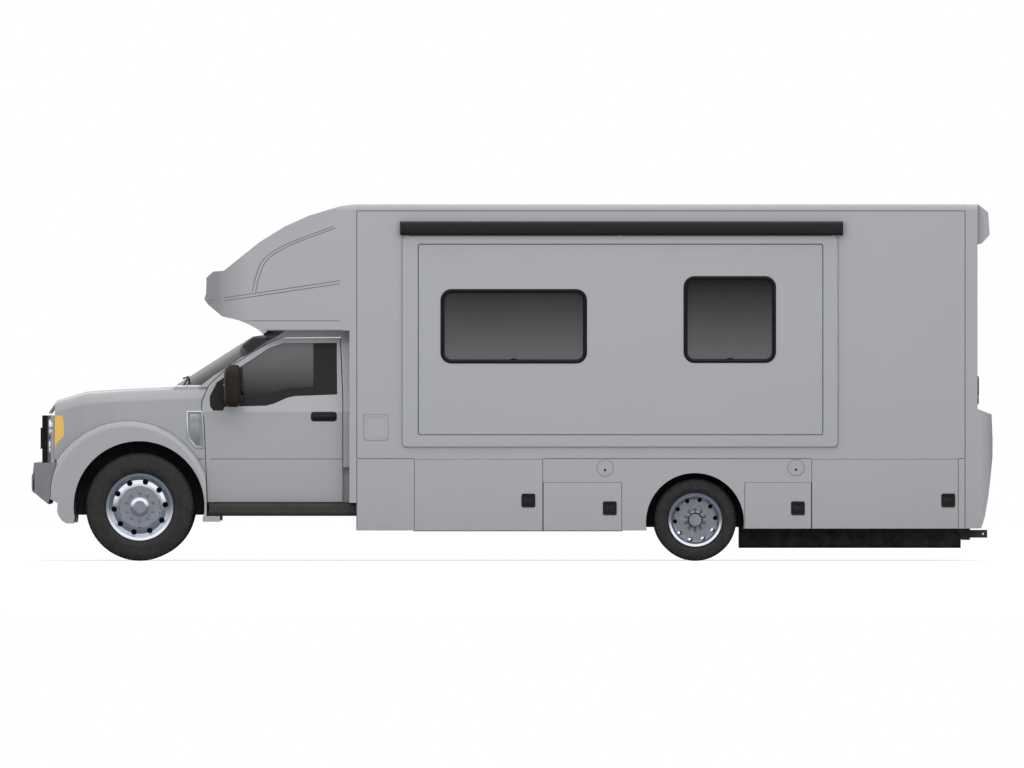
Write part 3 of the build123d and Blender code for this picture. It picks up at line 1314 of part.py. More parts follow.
with BuildPart() as entry_glass:
    rounded_window(inset(entry_pane_x, fit), inset(entry_pane_z, fit), entry_pane_r - fit,
                   half_house - 26, half_house - 4)
    rounded_window(inset(entry_pane_x, 30), inset(entry_pane_z, 30), entry_pane_r - 30,
                   half_house - 12, half_house - 4, mode=Mode.SUBTRACT)
entry_glass.part.label = "entry_glass"
export_step(entry_glass.part, "parts/entry_glass.step")

# Entry step: slides out from under the step well
entry_step_top_z = door_z[0] - well_gauge - fit
entry_step_x = (-1180.0, -630.0)
entry_tread_y = (880.0, 1230.0)
entry_tread_z = (330.0, 356.0)
entry_step_gauge = 10.0
entry_arm_y = (940.0, 1180.0)
with BuildPart() as entry_step:
    block(entry_step_x, (760, entry_arm_y[1]), (entry_step_top_z - entry_step_gauge, entry_step_top_z))
    for x in (entry_step_x[0], entry_step_x[1] - entry_step_gauge):
        block((x, x + entry_step_gauge), entry_arm_y, (entry_tread_z[0], entry_step_top_z))
    block(entry_step_x, entry_tread_y, entry_tread_z)
    for y in range(910, 1220, 40):
        block(inset(entry_step_x, 24), (y, y + 16), (entry_tread_z[1] - 5, entry_tread_z[1]),
              mode=Mode.SUBTRACT)
entry_step.part.label = "entry_step"
export_step(entry_step.part, "parts/entry_step.step")

# Awning case along the right wall
awning_x = (-1000.0, 3300.0)
awning_z = (roof_joint_z - 226.0, roof_joint_z - 86.0)
awning_depth = 110.0
awning_r = 46.0
with BuildPart() as awning_case:
    with BuildSketch(Plane.YZ.offset(awning_x[0])):
        with Locations((half_house + awning_depth / 2 - 20, sum(awning_z) / 2)):
            RectangleRounded(awning_depth + 40, awning_z[1] - awning_z[0], awning_r)
    extrude(amount=awning_x[1] - awning_x[0])
    block(inset(awning_x, -1), (half_house - 100, half_house), inset(awning_z, -1), mode=Mode.SUBTRACT)
    block(inset(awning_x, 30), (half_house + awning_depth - 6, half_house + awning_depth + 1),
          (3238, 3246), mode=Mode.SUBTRACT)
awning_case.part.label = "awning_case"
export_step(awning_case.part, "parts/awning_case.step")

# Holding tank below the rear of the frame
tank_pan_x = (2215.0, 4375.0)
tank_pan_half = 420.0
tank_pan_z = (121.0, rail_bottom_z)
with BuildPart() as tank_pan:
    block(tank_pan_x, (-tank_pan_half, tank_pan_half), tank_pan_z)
    fillet(tank_pan.edges().filter_by(Axis.X).group_by(Axis.Z)[0], radius=60)
    for x in range(int(tank_pan_x[0]) + 180, int(tank_pan_x[1]) - 100, 320):
        block((x, x + 60), (-tank_pan_half + 70, tank_pan_half - 70), (tank_pan_z[0], tank_pan_z[0] + 16),
              mode=Mode.SUBTRACT)
tank_pan.part.label = "tank_pan"
export_step(tank_pan.part, "parts/tank_pan.step")

# Hitch frame: side plates outside the rails, crossbar and receiver tube with its pin bore
hitch_plate = 12.0
hitch_outline = [(4240, 860), (4370, 860), (4370, 640), (4455, 330), (4465, 320), (4465, 200),
                 (4380, 200), (4240, 640)]
hitch_bar_x = (4385.0, 4465.0)
hitch_bar_z = (215.0, 300.0)
receiver_half = 38.0
receiver_bore = 25.5
receiver_x = (4385.0, 4640.0)
receiver_z = 257.5
pin_bore_r = 8.0
pin_bore_x = 4600.0
with BuildPart() as hitch_frame:
    for s in (-1, 1):
        side_prism(hitch_outline, *sorted((s * rail_half_width, s * (rail_half_width + hitch_plate))))
    block(hitch_bar_x, (-rail_half_width, rail_half_width), hitch_bar_z)
    block(receiver_x, (-receiver_half, receiver_half),
          (receiver_z - receiver_half, receiver_z + receiver_half))
    block((receiver_x[0] - 1, receiver_x[1] + 1), (-receiver_bore, receiver_bore),
          (receiver_z - receiver_bore, receiver_z + receiver_bore), mode=Mode.SUBTRACT)
    across(pin_bore_x, receiver_z, pin_bore_r, -60, 60, mode=Mode.SUBTRACT)
hitch_frame.part.label = "hitch_frame"
export_step(hitch_frame.part, "parts/hitch_frame.step")

# Tail lamps on the back wall
lamp_y = (1060.0, 1190.0)
lamp_z = (1520.0, 1800.0)
with BuildPart() as tail_lamps:
    for s in (-1, 1):
        with BuildSketch(Plane.YZ.offset(rear_wall_x)):
            with Locations((s * sum(lamp_y) / 2, sum(lamp_z) / 2)):
                RectangleRounded(lamp_y[1] - lamp_y[0], lamp_z[1] - lamp_z[0], 24)
        extrude(amount=16)
tail_lamps.part.label = "tail_lamps"
export_step(tail_lamps.part, "parts/tail_lamps.step")
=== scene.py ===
"""Looks of a motorhome: finishes, trim, tyres, windows, lamps and upholstery over the CAD frame."""

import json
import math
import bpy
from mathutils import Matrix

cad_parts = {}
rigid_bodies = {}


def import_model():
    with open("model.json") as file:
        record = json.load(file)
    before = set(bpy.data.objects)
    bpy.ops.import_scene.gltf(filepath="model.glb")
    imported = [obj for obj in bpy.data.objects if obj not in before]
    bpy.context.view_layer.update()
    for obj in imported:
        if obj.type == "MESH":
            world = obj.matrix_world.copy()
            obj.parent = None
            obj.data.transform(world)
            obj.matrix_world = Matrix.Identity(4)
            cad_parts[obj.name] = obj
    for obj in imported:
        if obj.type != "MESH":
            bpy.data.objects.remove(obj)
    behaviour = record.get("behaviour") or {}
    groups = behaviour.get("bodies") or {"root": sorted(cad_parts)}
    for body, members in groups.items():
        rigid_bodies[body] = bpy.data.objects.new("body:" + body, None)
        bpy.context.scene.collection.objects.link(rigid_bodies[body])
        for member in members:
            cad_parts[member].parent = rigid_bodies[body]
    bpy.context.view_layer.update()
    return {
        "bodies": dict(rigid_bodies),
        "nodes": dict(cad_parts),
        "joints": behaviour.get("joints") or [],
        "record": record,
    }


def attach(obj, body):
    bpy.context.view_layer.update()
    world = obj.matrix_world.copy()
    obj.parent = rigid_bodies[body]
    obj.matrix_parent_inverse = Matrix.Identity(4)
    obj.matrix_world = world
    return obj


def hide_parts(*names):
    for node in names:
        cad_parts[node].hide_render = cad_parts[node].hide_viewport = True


bl_info = {
    "name": "Motorhome Looks",
    "version": (1, 0, 0),
    "blender": (4, 5, 0),
    "location": "View3D > Sidebar > Motorhome",
    "description": "Dresses the frame of a motorhome with finishes, trim, tyres, windows and lamps",
    "category": "Object",
}

import bmesh
import bpy
from bpy.props import FloatProperty, FloatVectorProperty, IntProperty, PointerProperty
from mathutils import Matrix, Vector
from mathutils.bvhtree import BVHTree

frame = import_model()
nodes = frame["nodes"]

LEFT = -1
RIGHT = 1
SIDES = {"left": LEFT, "right": RIGHT}
ROOT = "coach"
COACH_FACE = 1.270
FASCIA_FACE = 1.290
FRONT_AXLE = (-3.619, 0.525)
REAR_AXLE = (1.781, 0.400)
FRONT_TRACK = 1.040
REAR_TRACKS = (1.075, 0.795)
NUTS = 10


# Settings

class MotorhomeFinish(bpy.types.PropertyGroup):
    """Colours of the painted, moulded and glazed surfaces"""

    body: FloatVectorProperty(
        name="Body paint", description="Paint of the coach, cab and hatches", subtype="COLOR",
        size=3, min=0, max=1, default=(0.384, 0.393, 0.413))
    line: FloatVectorProperty(
        name="Panel lines", description="Sealed joints and swages between panels", subtype="COLOR",
        size=3, min=0, max=1, default=(0.12, 0.123, 0.130))
    trim: FloatVectorProperty(
        name="Black trim", description="Moulded black plastic outside", subtype="COLOR",
        size=3, min=0, max=1, default=(0.008, 0.008, 0.0085))
    mirror: FloatVectorProperty(
        name="Mirror shells", description="Warm black plastic of the mirror shells", subtype="COLOR",
        size=3, min=0, max=1, default=(0.014, 0.008, 0.007))
    rubber: FloatVectorProperty(
        name="Tyre rubber", description="Tyre rubber before road dust", subtype="COLOR",
        size=3, min=0, max=1, default=(0.020, 0.0202, 0.021))
    seat: FloatVectorProperty(
        name="Seat cloth", description="Woven cloth of the cab seats", subtype="COLOR",
        size=3, min=0, max=1, default=(0.10, 0.10, 0.11))
    dust: FloatVectorProperty(
        name="Road dust", description="Dust on tyres and parts near the road", subtype="COLOR",
        size=3, min=0, max=1, default=(0.20, 0.18, 0.155))


class MotorhomeTrim(bpy.types.PropertyGroup):
    """Sizes of mouldings and small fittings"""

    line_width: FloatProperty(
        name="Line width", description="Width of a sealed panel joint", unit="LENGTH",
        min=0.002, max=0.03, default=0.009)
    line_height: FloatProperty(
        name="Line height", description="How far a sealed joint stands off the panel", unit="LENGTH",
        min=0.0004, max=0.006, default=0.0012)
    window_radius: FloatProperty(
        name="Window corner", description="Corner radius of the coach's windows", unit="LENGTH",
        min=0.02, max=0.2, default=0.107)
    window_frame: FloatProperty(
        name="Window frame", description="Width of a window's black frame", unit="LENGTH",
        min=0.01, max=0.08, default=0.034)


class MotorhomeTyres(bpy.types.PropertyGroup):
    """Tread of the tyres"""

    front_pitches: IntProperty(
        name="Front pitches", description="Tread blocks round a front tyre", min=24, max=120, default=64)
    rear_pitches: IntProperty(
        name="Rear pitches", description="Tread blocks round a rear tyre", min=24, max=120, default=52)
    groove: FloatProperty(
        name="Groove depth", description="Depth of the tread's grooves", unit="LENGTH",
        min=0.003, max=0.02, default=0.012)


class MotorhomeStudio(bpy.types.PropertyGroup):
    """Camera and light"""

    scale: FloatProperty(
        name="Frame width", description="Width that the picture covers at the near side", unit="LENGTH",
        min=5, max=20, default=9.949)
    lens: FloatProperty(
        name="Lens", description="Focal length of the camera in millimetres", min=50, max=1200, default=900)
    eye: FloatProperty(
        name="Camera height", description="Height of the camera above the ground", unit="LENGTH",
        min=0.5, max=4, default=1.720)
    fill: FloatProperty(
        name="Fill light", description="Strength of the even light from all round", min=0, max=2,
        default=0.54)
    key: FloatProperty(
        name="Key light", description="Strength of the large lamp over the left side", min=0, max=10,
        default=1.06)


# Shader groups that several finishes share

def new_group(name, inputs, outputs):
    """Empty shader group with its sockets, as (group, its input node, its output node)."""
    group = bpy.data.node_groups.new(name, "ShaderNodeTree")
    for label, kind, value in inputs:
        socket = group.interface.new_socket(label, in_out="INPUT", socket_type=kind)
        socket.default_value = value
    for label, kind in outputs:
        group.interface.new_socket(label, in_out="OUTPUT", socket_type=kind)
    return group, group.nodes.new("NodeGroupInput"), group.nodes.new("NodeGroupOutput")


def add_node(tree, kind, **values):
    """Shader node with its properties set, and its sockets set by label or index."""
    node = tree.nodes.new(kind)
    for key, value in values.items():
        if key == "sockets":
            for label, content in value.items():
                node.inputs[label].default_value = content
        else:
            setattr(node, key, value)
    return node


def noise(tree, vector, scale, detail=4.0, roughness=0.55):
    """Noise texture on object coordinates."""
    node = add_node(tree, "ShaderNodeTexNoise", sockets={"Detail": detail, "Roughness": roughness})
    if isinstance(scale, (int, float)):
        node.inputs["Scale"].default_value = scale
    else:
        tree.links.new(scale, node.inputs["Scale"])
    tree.links.new(vector, node.inputs["Vector"])
    return node.outputs["Fac"]


def mapped(tree, value, low, high, to_low, to_high):
    """Value carried from one range to another and held inside it."""
    node = add_node(tree, "ShaderNodeMapRange", clamp=True,
                    sockets={"From Min": low, "From Max": high, "To Min": to_low, "To Max": to_high})
    tree.links.new(value, node.inputs["Value"])
    return node.outputs["Result"]


def maths(tree, operation, a, b=None):
    """Math node on two links or numbers."""
    node = add_node(tree, "ShaderNodeMath", operation=operation)
    for index, value in enumerate((a, b)):
        if value is None:
            continue
        if isinstance(value, (int, float)):
            node.inputs[index].default_value = value
        else:
            tree.links.new(value, node.inputs[index])
    return node.outputs[0]


def mixed(tree, factor, a, b):
    """Colour mix of two links or colours."""
    node = add_node(tree, "ShaderNodeMix", data_type="RGBA")
    for label, value in ((0, factor), (6, a), (7, b)):
        if hasattr(value, "is_linked"):
            tree.links.new(value, node.inputs[label])
        elif isinstance(value, (int, float)):
            node.inputs[label].default_value = value
        else:
            node.inputs[label].default_value = (*value[:3], 1.0)
    return node.outputs[2]


def build_tone_drift():
    """Slow change of tone over a surface."""
    group, source, sink = new_group(
        "Tone Drift",
        (("Color", "NodeSocketColor", (0.5, 0.5, 0.5, 1)), ("Amount", "NodeSocketFloat", 0.05),
         ("Scale", "NodeSocketFloat", 2.0)),
        (("Color", "NodeSocketColor"),))
    place = group.nodes.new("ShaderNodeTexCoord").outputs["Object"]
    field = noise(group, place, source.outputs["Scale"], 5.0)
    centred = maths(group, "SUBTRACT", field, 0.5)
    swing = maths(group, "MULTIPLY", centred, source.outputs["Amount"])
    gain = maths(group, "ADD", swing, 1.0)
    scaled = add_node(group, "ShaderNodeVectorMath", operation="SCALE")
    group.links.new(source.outputs["Color"], scaled.inputs[0])
    group.links.new(gain, scaled.inputs["Scale"])
    group.links.new(scaled.outputs[0], sink.inputs["Color"])
    return group


def build_road_dust():
    """Dust that thickens towards the road."""
    group, source, sink = new_group(
        "Road Dust",
        (("Color", "NodeSocketColor", (0.5, 0.5, 0.5, 1)), ("Dust", "NodeSocketColor", (0.2, 0.18, 0.15, 1)),
         ("Top", "NodeSocketFloat", 0.8), ("Amount", "NodeSocketFloat", 0.4)),
        (("Color", "NodeSocketColor"), ("Mask", "NodeSocketFloat")))
    place = group.nodes.new("ShaderNodeTexCoord").outputs["Object"]
    split = add_node(group, "ShaderNodeSeparateXYZ")
    group.links.new(place, split.inputs[0])
    depth = maths(group, "DIVIDE", split.outputs["Z"], source.outputs["Top"])
    low = mapped(group, depth, 0.0, 1.0, 1.0, 0.0)
    blotch = mapped(group, noise(group, place, 9.0, 6.0, 0.65), 0.35, 0.7, 0.15, 1.0)
    cover = maths(group, "MULTIPLY", maths(group, "MULTIPLY", low, blotch), source.outputs["Amount"])
    group.links.new(mixed(group, cover, source.outputs["Color"], source.outputs["Dust"]),
                    sink.inputs["Color"])
    group.links.new(cover, sink.inputs["Mask"])
    return group


def build_fine_relief():
    """Fine unevenness of a surface, as a normal."""
    group, source, sink = new_group(
        "Fine Relief",
        (("Scale", "NodeSocketFloat", 200.0), ("Height", "NodeSocketFloat", 0.1),
         ("Depth", "NodeSocketFloat", 0.001)),
        (("Normal", "NodeSocketVector"),))
    place = group.nodes.new("ShaderNodeTexCoord").outputs["Object"]
    field = noise(group, place, source.outputs["Scale"], 2.0)
    bump = add_node(group, "ShaderNodeBump")
    group.links.new(source.outputs["Height"], bump.inputs["Strength"])
    group.links.new(source.outputs["Depth"], bump.inputs["Distance"])
    group.links.new(field, bump.inputs["Height"])
    group.links.new(bump.outputs["Normal"], sink.inputs["Normal"])
    return group


def build_moulded_grain():
    """Leather-like grain of moulded plastic, as a mask of its cells and a normal."""
    group, source, sink = new_group(
        "Moulded Grain",
        (("Scale", "NodeSocketFloat", 500.0), ("Height", "NodeSocketFloat", 0.3)),
        (("Cells", "NodeSocketFloat"), ("Normal", "NodeSocketVector")))
    place = group.nodes.new("ShaderNodeTexCoord").outputs["Object"]
    cells = add_node(group, "ShaderNodeTexVoronoi", feature="DISTANCE_TO_EDGE")
    group.links.new(place, cells.inputs["Vector"])
    group.links.new(source.outputs["Scale"], cells.inputs["Scale"])
    raised = mapped(group, cells.outputs["Distance"], 0.0, 0.18, 0.0, 1.0)
    bump = add_node(group, "ShaderNodeBump", sockets={"Distance": 0.0006})
    group.links.new(source.outputs["Height"], bump.inputs["Strength"])
    group.links.new(raised, bump.inputs["Height"])
    group.links.new(raised, sink.inputs["Cells"])
    group.links.new(bump.outputs["Normal"], sink.inputs["Normal"])
    return group


def build_cross_weave():
    """Over-and-under cloth weave, as a mask and a normal."""
    group, source, sink = new_group(
        "Cross Weave",
        (("Pitch", "NodeSocketFloat", 0.004), ("Height", "NodeSocketFloat", 0.4)),
        (("Threads", "NodeSocketFloat"), ("Normal", "NodeSocketVector")))
    place = group.nodes.new("ShaderNodeTexCoord").outputs["Object"]
    turned = maths(group, "DIVIDE", 6.2832, source.outputs["Pitch"])
    split = add_node(group, "ShaderNodeSeparateXYZ")
    group.links.new(place, split.inputs[0])
    rise = maths(group, "ADD", split.outputs["X"], split.outputs["Z"])
    across = maths(group, "SINE", maths(group, "MULTIPLY", split.outputs["Y"], turned))
    along = maths(group, "SINE", maths(group, "MULTIPLY", rise, turned))
    cloth = maths(group, "MULTIPLY", across, along)
    threads = mapped(group, cloth, -1.0, 1.0, 0.0, 1.0)
    bump = add_node(group, "ShaderNodeBump", sockets={"Distance": 0.0012})
    group.links.new(source.outputs["Height"], bump.inputs["Strength"])
    group.links.new(threads, bump.inputs["Height"])
    group.links.new(threads, sink.inputs["Threads"])
    group.links.new(bump.outputs["Normal"], sink.inputs["Normal"])
    return group


groups = {}


def shared(name):
    """Shader group by name, built at its first use."""
    builders = {
        "Tone Drift": build_tone_drift, "Road Dust": build_road_dust, "Fine Relief": build_fine_relief,
        "Moulded Grain": build_moulded_grain, "Cross Weave": build_cross_weave,
    }
    if name not in groups:
        groups[name] = builders[name]()
    return groups[name]


def place_group(tree, name, **values):
    """Shared group in a material, with its numbers set and its links made."""
    node = add_node(tree, "ShaderNodeGroup", node_tree=shared(name))
    for label, value in values.items():
        label = label.replace("_", " ")
        if hasattr(value, "is_linked"):
            tree.links.new(value, node.inputs[label])
        elif isinstance(value, (int, float)):
            node.inputs[label].default_value = value
        else:
            node.inputs[label].default_value = (*value[:3], 1.0)
    return node


finishes = {}


def new_finish(name):
    """Empty material as (material, its tree, its Principled shader)."""
    material = bpy.data.materials.new(name)
    material.use_nodes = True
    shader = material.node_tree.nodes["Principled BSDF"]
    return material, material.node_tree, shader


def paint_finish(name, colour, roughness=0.28, coat=0.6, drift=0.05, dust=0.22, top=0.75):
    """Sprayed paint: slow drift of tone, orange peel, and road dust low down."""
    material, tree, shader = new_finish(name)
    tone = place_group(tree, "Tone Drift", Color=colour, Amount=drift, Scale=0.9)
    road = place_group(tree, "Road Dust", Color=tone.outputs["Color"], Top=top, Amount=dust,
                       Dust=bpy.context.scene.motorhome_finish.dust)
    relief = place_group(tree, "Fine Relief", Scale=140.0, Height=0.06)
    tree.links.new(road.outputs["Color"], shader.inputs["Base Color"])
    worn = mapped(tree, road.outputs["Mask"], 0.0, 0.5, roughness, 0.75)
    tree.links.new(worn, shader.inputs["Roughness"])
    tree.links.new(relief.outputs["Normal"], shader.inputs["Normal"])
    shader.inputs["Coat Weight"].default_value = coat
    shader.inputs["Coat Roughness"].default_value = 0.08
    return material


def plastic_finish(name, colour, roughness=0.5, grain=420.0, height=0.35, dust=0.25, top=0.9, sheen=0.3):
    """Moulded plastic with a fine grain, dusty near the road."""
    material, tree, shader = new_finish(name)
    skin = place_group(tree, "Moulded Grain", Scale=grain, Height=height)
    tone = place_group(tree, "Tone Drift", Color=colour, Amount=0.18, Scale=6.0)
    road = place_group(tree, "Road Dust", Color=tone.outputs["Color"], Top=top, Amount=dust,
                       Dust=bpy.context.scene.motorhome_finish.dust)
    tree.links.new(road.outputs["Color"], shader.inputs["Base Color"])
    spread = mapped(tree, skin.outputs["Cells"], 0.0, 1.0, roughness + 0.15, roughness)
    tree.links.new(spread, shader.inputs["Roughness"])
    tree.links.new(skin.outputs["Normal"], shader.inputs["Normal"])
    shader.inputs["Specular IOR Level"].default_value = sheen
    return material


def metal_finish(name, colour, roughness=0.2, brushed=0.0, dust=0.1, top=0.9, painted_shade_depths=None):
    """Bare or plated metal with faint smears; where two |Y| limits are given, painted shade darkens it
    inwards between them, black and not metallic further in.
    """
    material, tree, shader = new_finish(name)
    if painted_shade_depths:
        split = add_node(tree, "ShaderNodeSeparateXYZ")
        tree.links.new(tree.nodes.new("ShaderNodeTexCoord").outputs["Object"], split.inputs[0])
        # Painted shade: further in than the given |Y| limits the metal is black and not metallic, standing in
        # for shade inside the wheel.
        outside_painted_shade = mapped(tree, maths(tree, "ABSOLUTE", split.outputs["Y"]), *painted_shade_depths, 0.0, 1.0)
        colour = mixed(tree, outside_painted_shade, (0.02, 0.02, 0.022), colour)
    tone = place_group(tree, "Tone Drift", Color=colour, Amount=0.10, Scale=5.0)
    road = place_group(tree, "Road Dust", Color=tone.outputs["Color"], Top=top, Amount=dust,
                       Dust=bpy.context.scene.motorhome_finish.dust)
    place = tree.nodes.new("ShaderNodeTexCoord").outputs["Object"]
    smear = noise(tree, place, 14.0, 6.0, 0.7)
    spread = mapped(tree, smear, 0.3, 0.75, roughness * 0.75, roughness * 1.5 + brushed)
    relief = place_group(tree, "Fine Relief", Scale=60.0 + brushed * 900.0, Height=0.05 + brushed)
    tree.links.new(road.outputs["Color"], shader.inputs["Base Color"])
    tree.links.new(spread, shader.inputs["Roughness"])
    tree.links.new(relief.outputs["Normal"], shader.inputs["Normal"])
    if painted_shade_depths:
        tree.links.new(outside_painted_shade, shader.inputs["Metallic"])
    else:
        shader.inputs["Metallic"].default_value = 1.0
    return material


def tyre_finish(name, colour):
    """Tyre rubber: fine moulded texture and dust in random patches."""
    material, tree, shader = new_finish(name)
    tone = place_group(tree, "Tone Drift", Color=colour, Amount=0.30, Scale=8.0)
    place = tree.nodes.new("ShaderNodeTexCoord").outputs["Object"]
    patch = mapped(tree, noise(tree, place, 16.0, 7.0, 0.7), 0.42, 0.78, 0.0, 0.16)
    dusty = mixed(tree, patch, tone.outputs["Color"], bpy.context.scene.motorhome_finish.dust)
    relief = place_group(tree, "Fine Relief", Scale=260.0, Height=0.25)
    tree.links.new(dusty, shader.inputs["Base Color"])
    tree.links.new(mapped(tree, patch, 0.0, 0.16, 0.62, 0.9), shader.inputs["Roughness"])
    tree.links.new(relief.outputs["Normal"], shader.inputs["Normal"])
    shader.inputs["Specular IOR Level"].default_value = 0.3
    return material


def cloth_finish(name, colour, pitch=0.005):
    """Woven cloth with painted highlights on its thread crowns, painted shade between the threads, and a soft
    sheen.
    """
    material, tree, shader = new_finish(name)
    weave = place_group(tree, "Cross Weave", Pitch=pitch, Height=0.5)
    # Painted shade and highlight: darker between the threads, lighter on their crowns, following the weave's
    # height.
    dark = [c * 0.62 for c in colour]
    light = [min(1.0, c * 1.35) for c in colour]
    threads = mixed(tree, weave.outputs["Threads"], dark, light)
    tone = place_group(tree, "Tone Drift", Amount=0.22, Scale=7.0, Color=threads)
    tree.links.new(tone.outputs["Color"], shader.inputs["Base Color"])
    tree.links.new(weave.outputs["Normal"], shader.inputs["Normal"])
    shader.inputs["Roughness"].default_value = 0.9
    shader.inputs["Sheen Weight"].default_value = 0.3
    return material


def glass_finish(name, colour, alpha, roughness=0.03):
    """Tinted glazing with a faint film of dust."""
    material, tree, shader = new_finish(name)
    place = tree.nodes.new("ShaderNodeTexCoord").outputs["Object"]
    film = mapped(tree, noise(tree, place, 5.0, 5.0, 0.6), 0.4, 0.8, 0.0, 0.05)
    tree.links.new(mixed(tree, film, colour, (0.4, 0.4, 0.4)), shader.inputs["Base Color"])
    tree.links.new(mapped(tree, film, 0.0, 0.05, alpha, min(1.0, alpha + 0.06)), shader.inputs["Alpha"])
    tree.links.new(mapped(tree, film, 0.0, 0.05, roughness, roughness + 0.08), shader.inputs["Roughness"])
    shader.inputs["IOR"].default_value = 1.5
    return material


def painted_reflection_pane_finish(name, low_colour, top_colour, z_low, z_high, alpha=1.0, mirroring=0.25):
    """Tinted pane with a painted reflection: its tone changes between two heights."""
    material, tree, shader = new_finish(name)
    place = tree.nodes.new("ShaderNodeTexCoord").outputs["Object"]
    split = add_node(tree, "ShaderNodeSeparateXYZ")
    tree.links.new(place, split.inputs[0])
    # Painted reflection: the tone goes from the low colour to the top colour between the two heights.
    rise = mapped(tree, split.outputs["Z"], z_low, z_high, 0.0, 1.0)
    painted_reflection = mixed(tree, rise, low_colour, top_colour)
    tone = place_group(tree, "Tone Drift", Amount=0.10, Scale=3.0, Color=painted_reflection)
    tree.links.new(tone.outputs["Color"], shader.inputs["Base Color"])
    smear = noise(tree, place, 7.0, 5.0)
    tree.links.new(mapped(tree, smear, 0.3, 0.8, 0.05, 0.13), shader.inputs["Roughness"])
    shader.inputs["Specular IOR Level"].default_value = mirroring
    shader.inputs["Alpha"].default_value = alpha
    return material


def lens_finish(name, colour, roughness=0.12, flute=90.0):
    """Coloured lamp lens with fine flutes moulded in its back, and painted shade in bands along the flutes.
    """
    material, tree, shader = new_finish(name)
    place = tree.nodes.new("ShaderNodeTexCoord").outputs["Object"]
    wave = add_node(tree, "ShaderNodeTexWave", bands_direction="Z",
                    sockets={"Scale": flute, "Distortion": 0.2})
    tree.links.new(place, wave.inputs["Vector"])
    # Painted shade: the lens colour darkens in bands that follow the flutes.
    deep = [c * 0.85 for c in colour]
    tree.links.new(mixed(tree, wave.outputs["Fac"], deep, colour), shader.inputs["Base Color"])
    bump = add_node(tree, "ShaderNodeBump", sockets={"Strength": 0.25, "Distance": 0.001})
    tree.links.new(wave.outputs["Fac"], bump.inputs["Height"])
    tree.links.new(bump.outputs["Normal"], shader.inputs["Normal"])
    shader.inputs["Roughness"].default_value = roughness
    shader.inputs["Coat Weight"].default_value = 0.8
    return material


def board_finish(name, colour):
    """Vinyl floor with long planks."""
    material, tree, shader = new_finish(name)
    place = tree.nodes.new("ShaderNodeTexCoord").outputs["Object"]
    brick = add_node(tree, "ShaderNodeTexBrick", sockets={
        "Scale": 1.0, "Mortar Size": 0.004, "Brick Width": 1.2, "Row Height": 0.16,
        "Color1": (*colour, 1), "Color2": (*[c * 0.82 for c in colour], 1),
        "Mortar": (*[c * 0.4 for c in colour], 1)})
    tree.links.new(place, brick.inputs["Vector"])
    tone = place_group(tree, "Tone Drift", Amount=0.25, Scale=9.0, Color=brick.outputs["Color"])
    relief = place_group(tree, "Fine Relief", Scale=90.0, Height=0.12)
    tree.links.new(tone.outputs["Color"], shader.inputs["Base Color"])
    tree.links.new(relief.outputs["Normal"], shader.inputs["Normal"])
    shader.inputs["Roughness"].default_value = 0.45
    return material


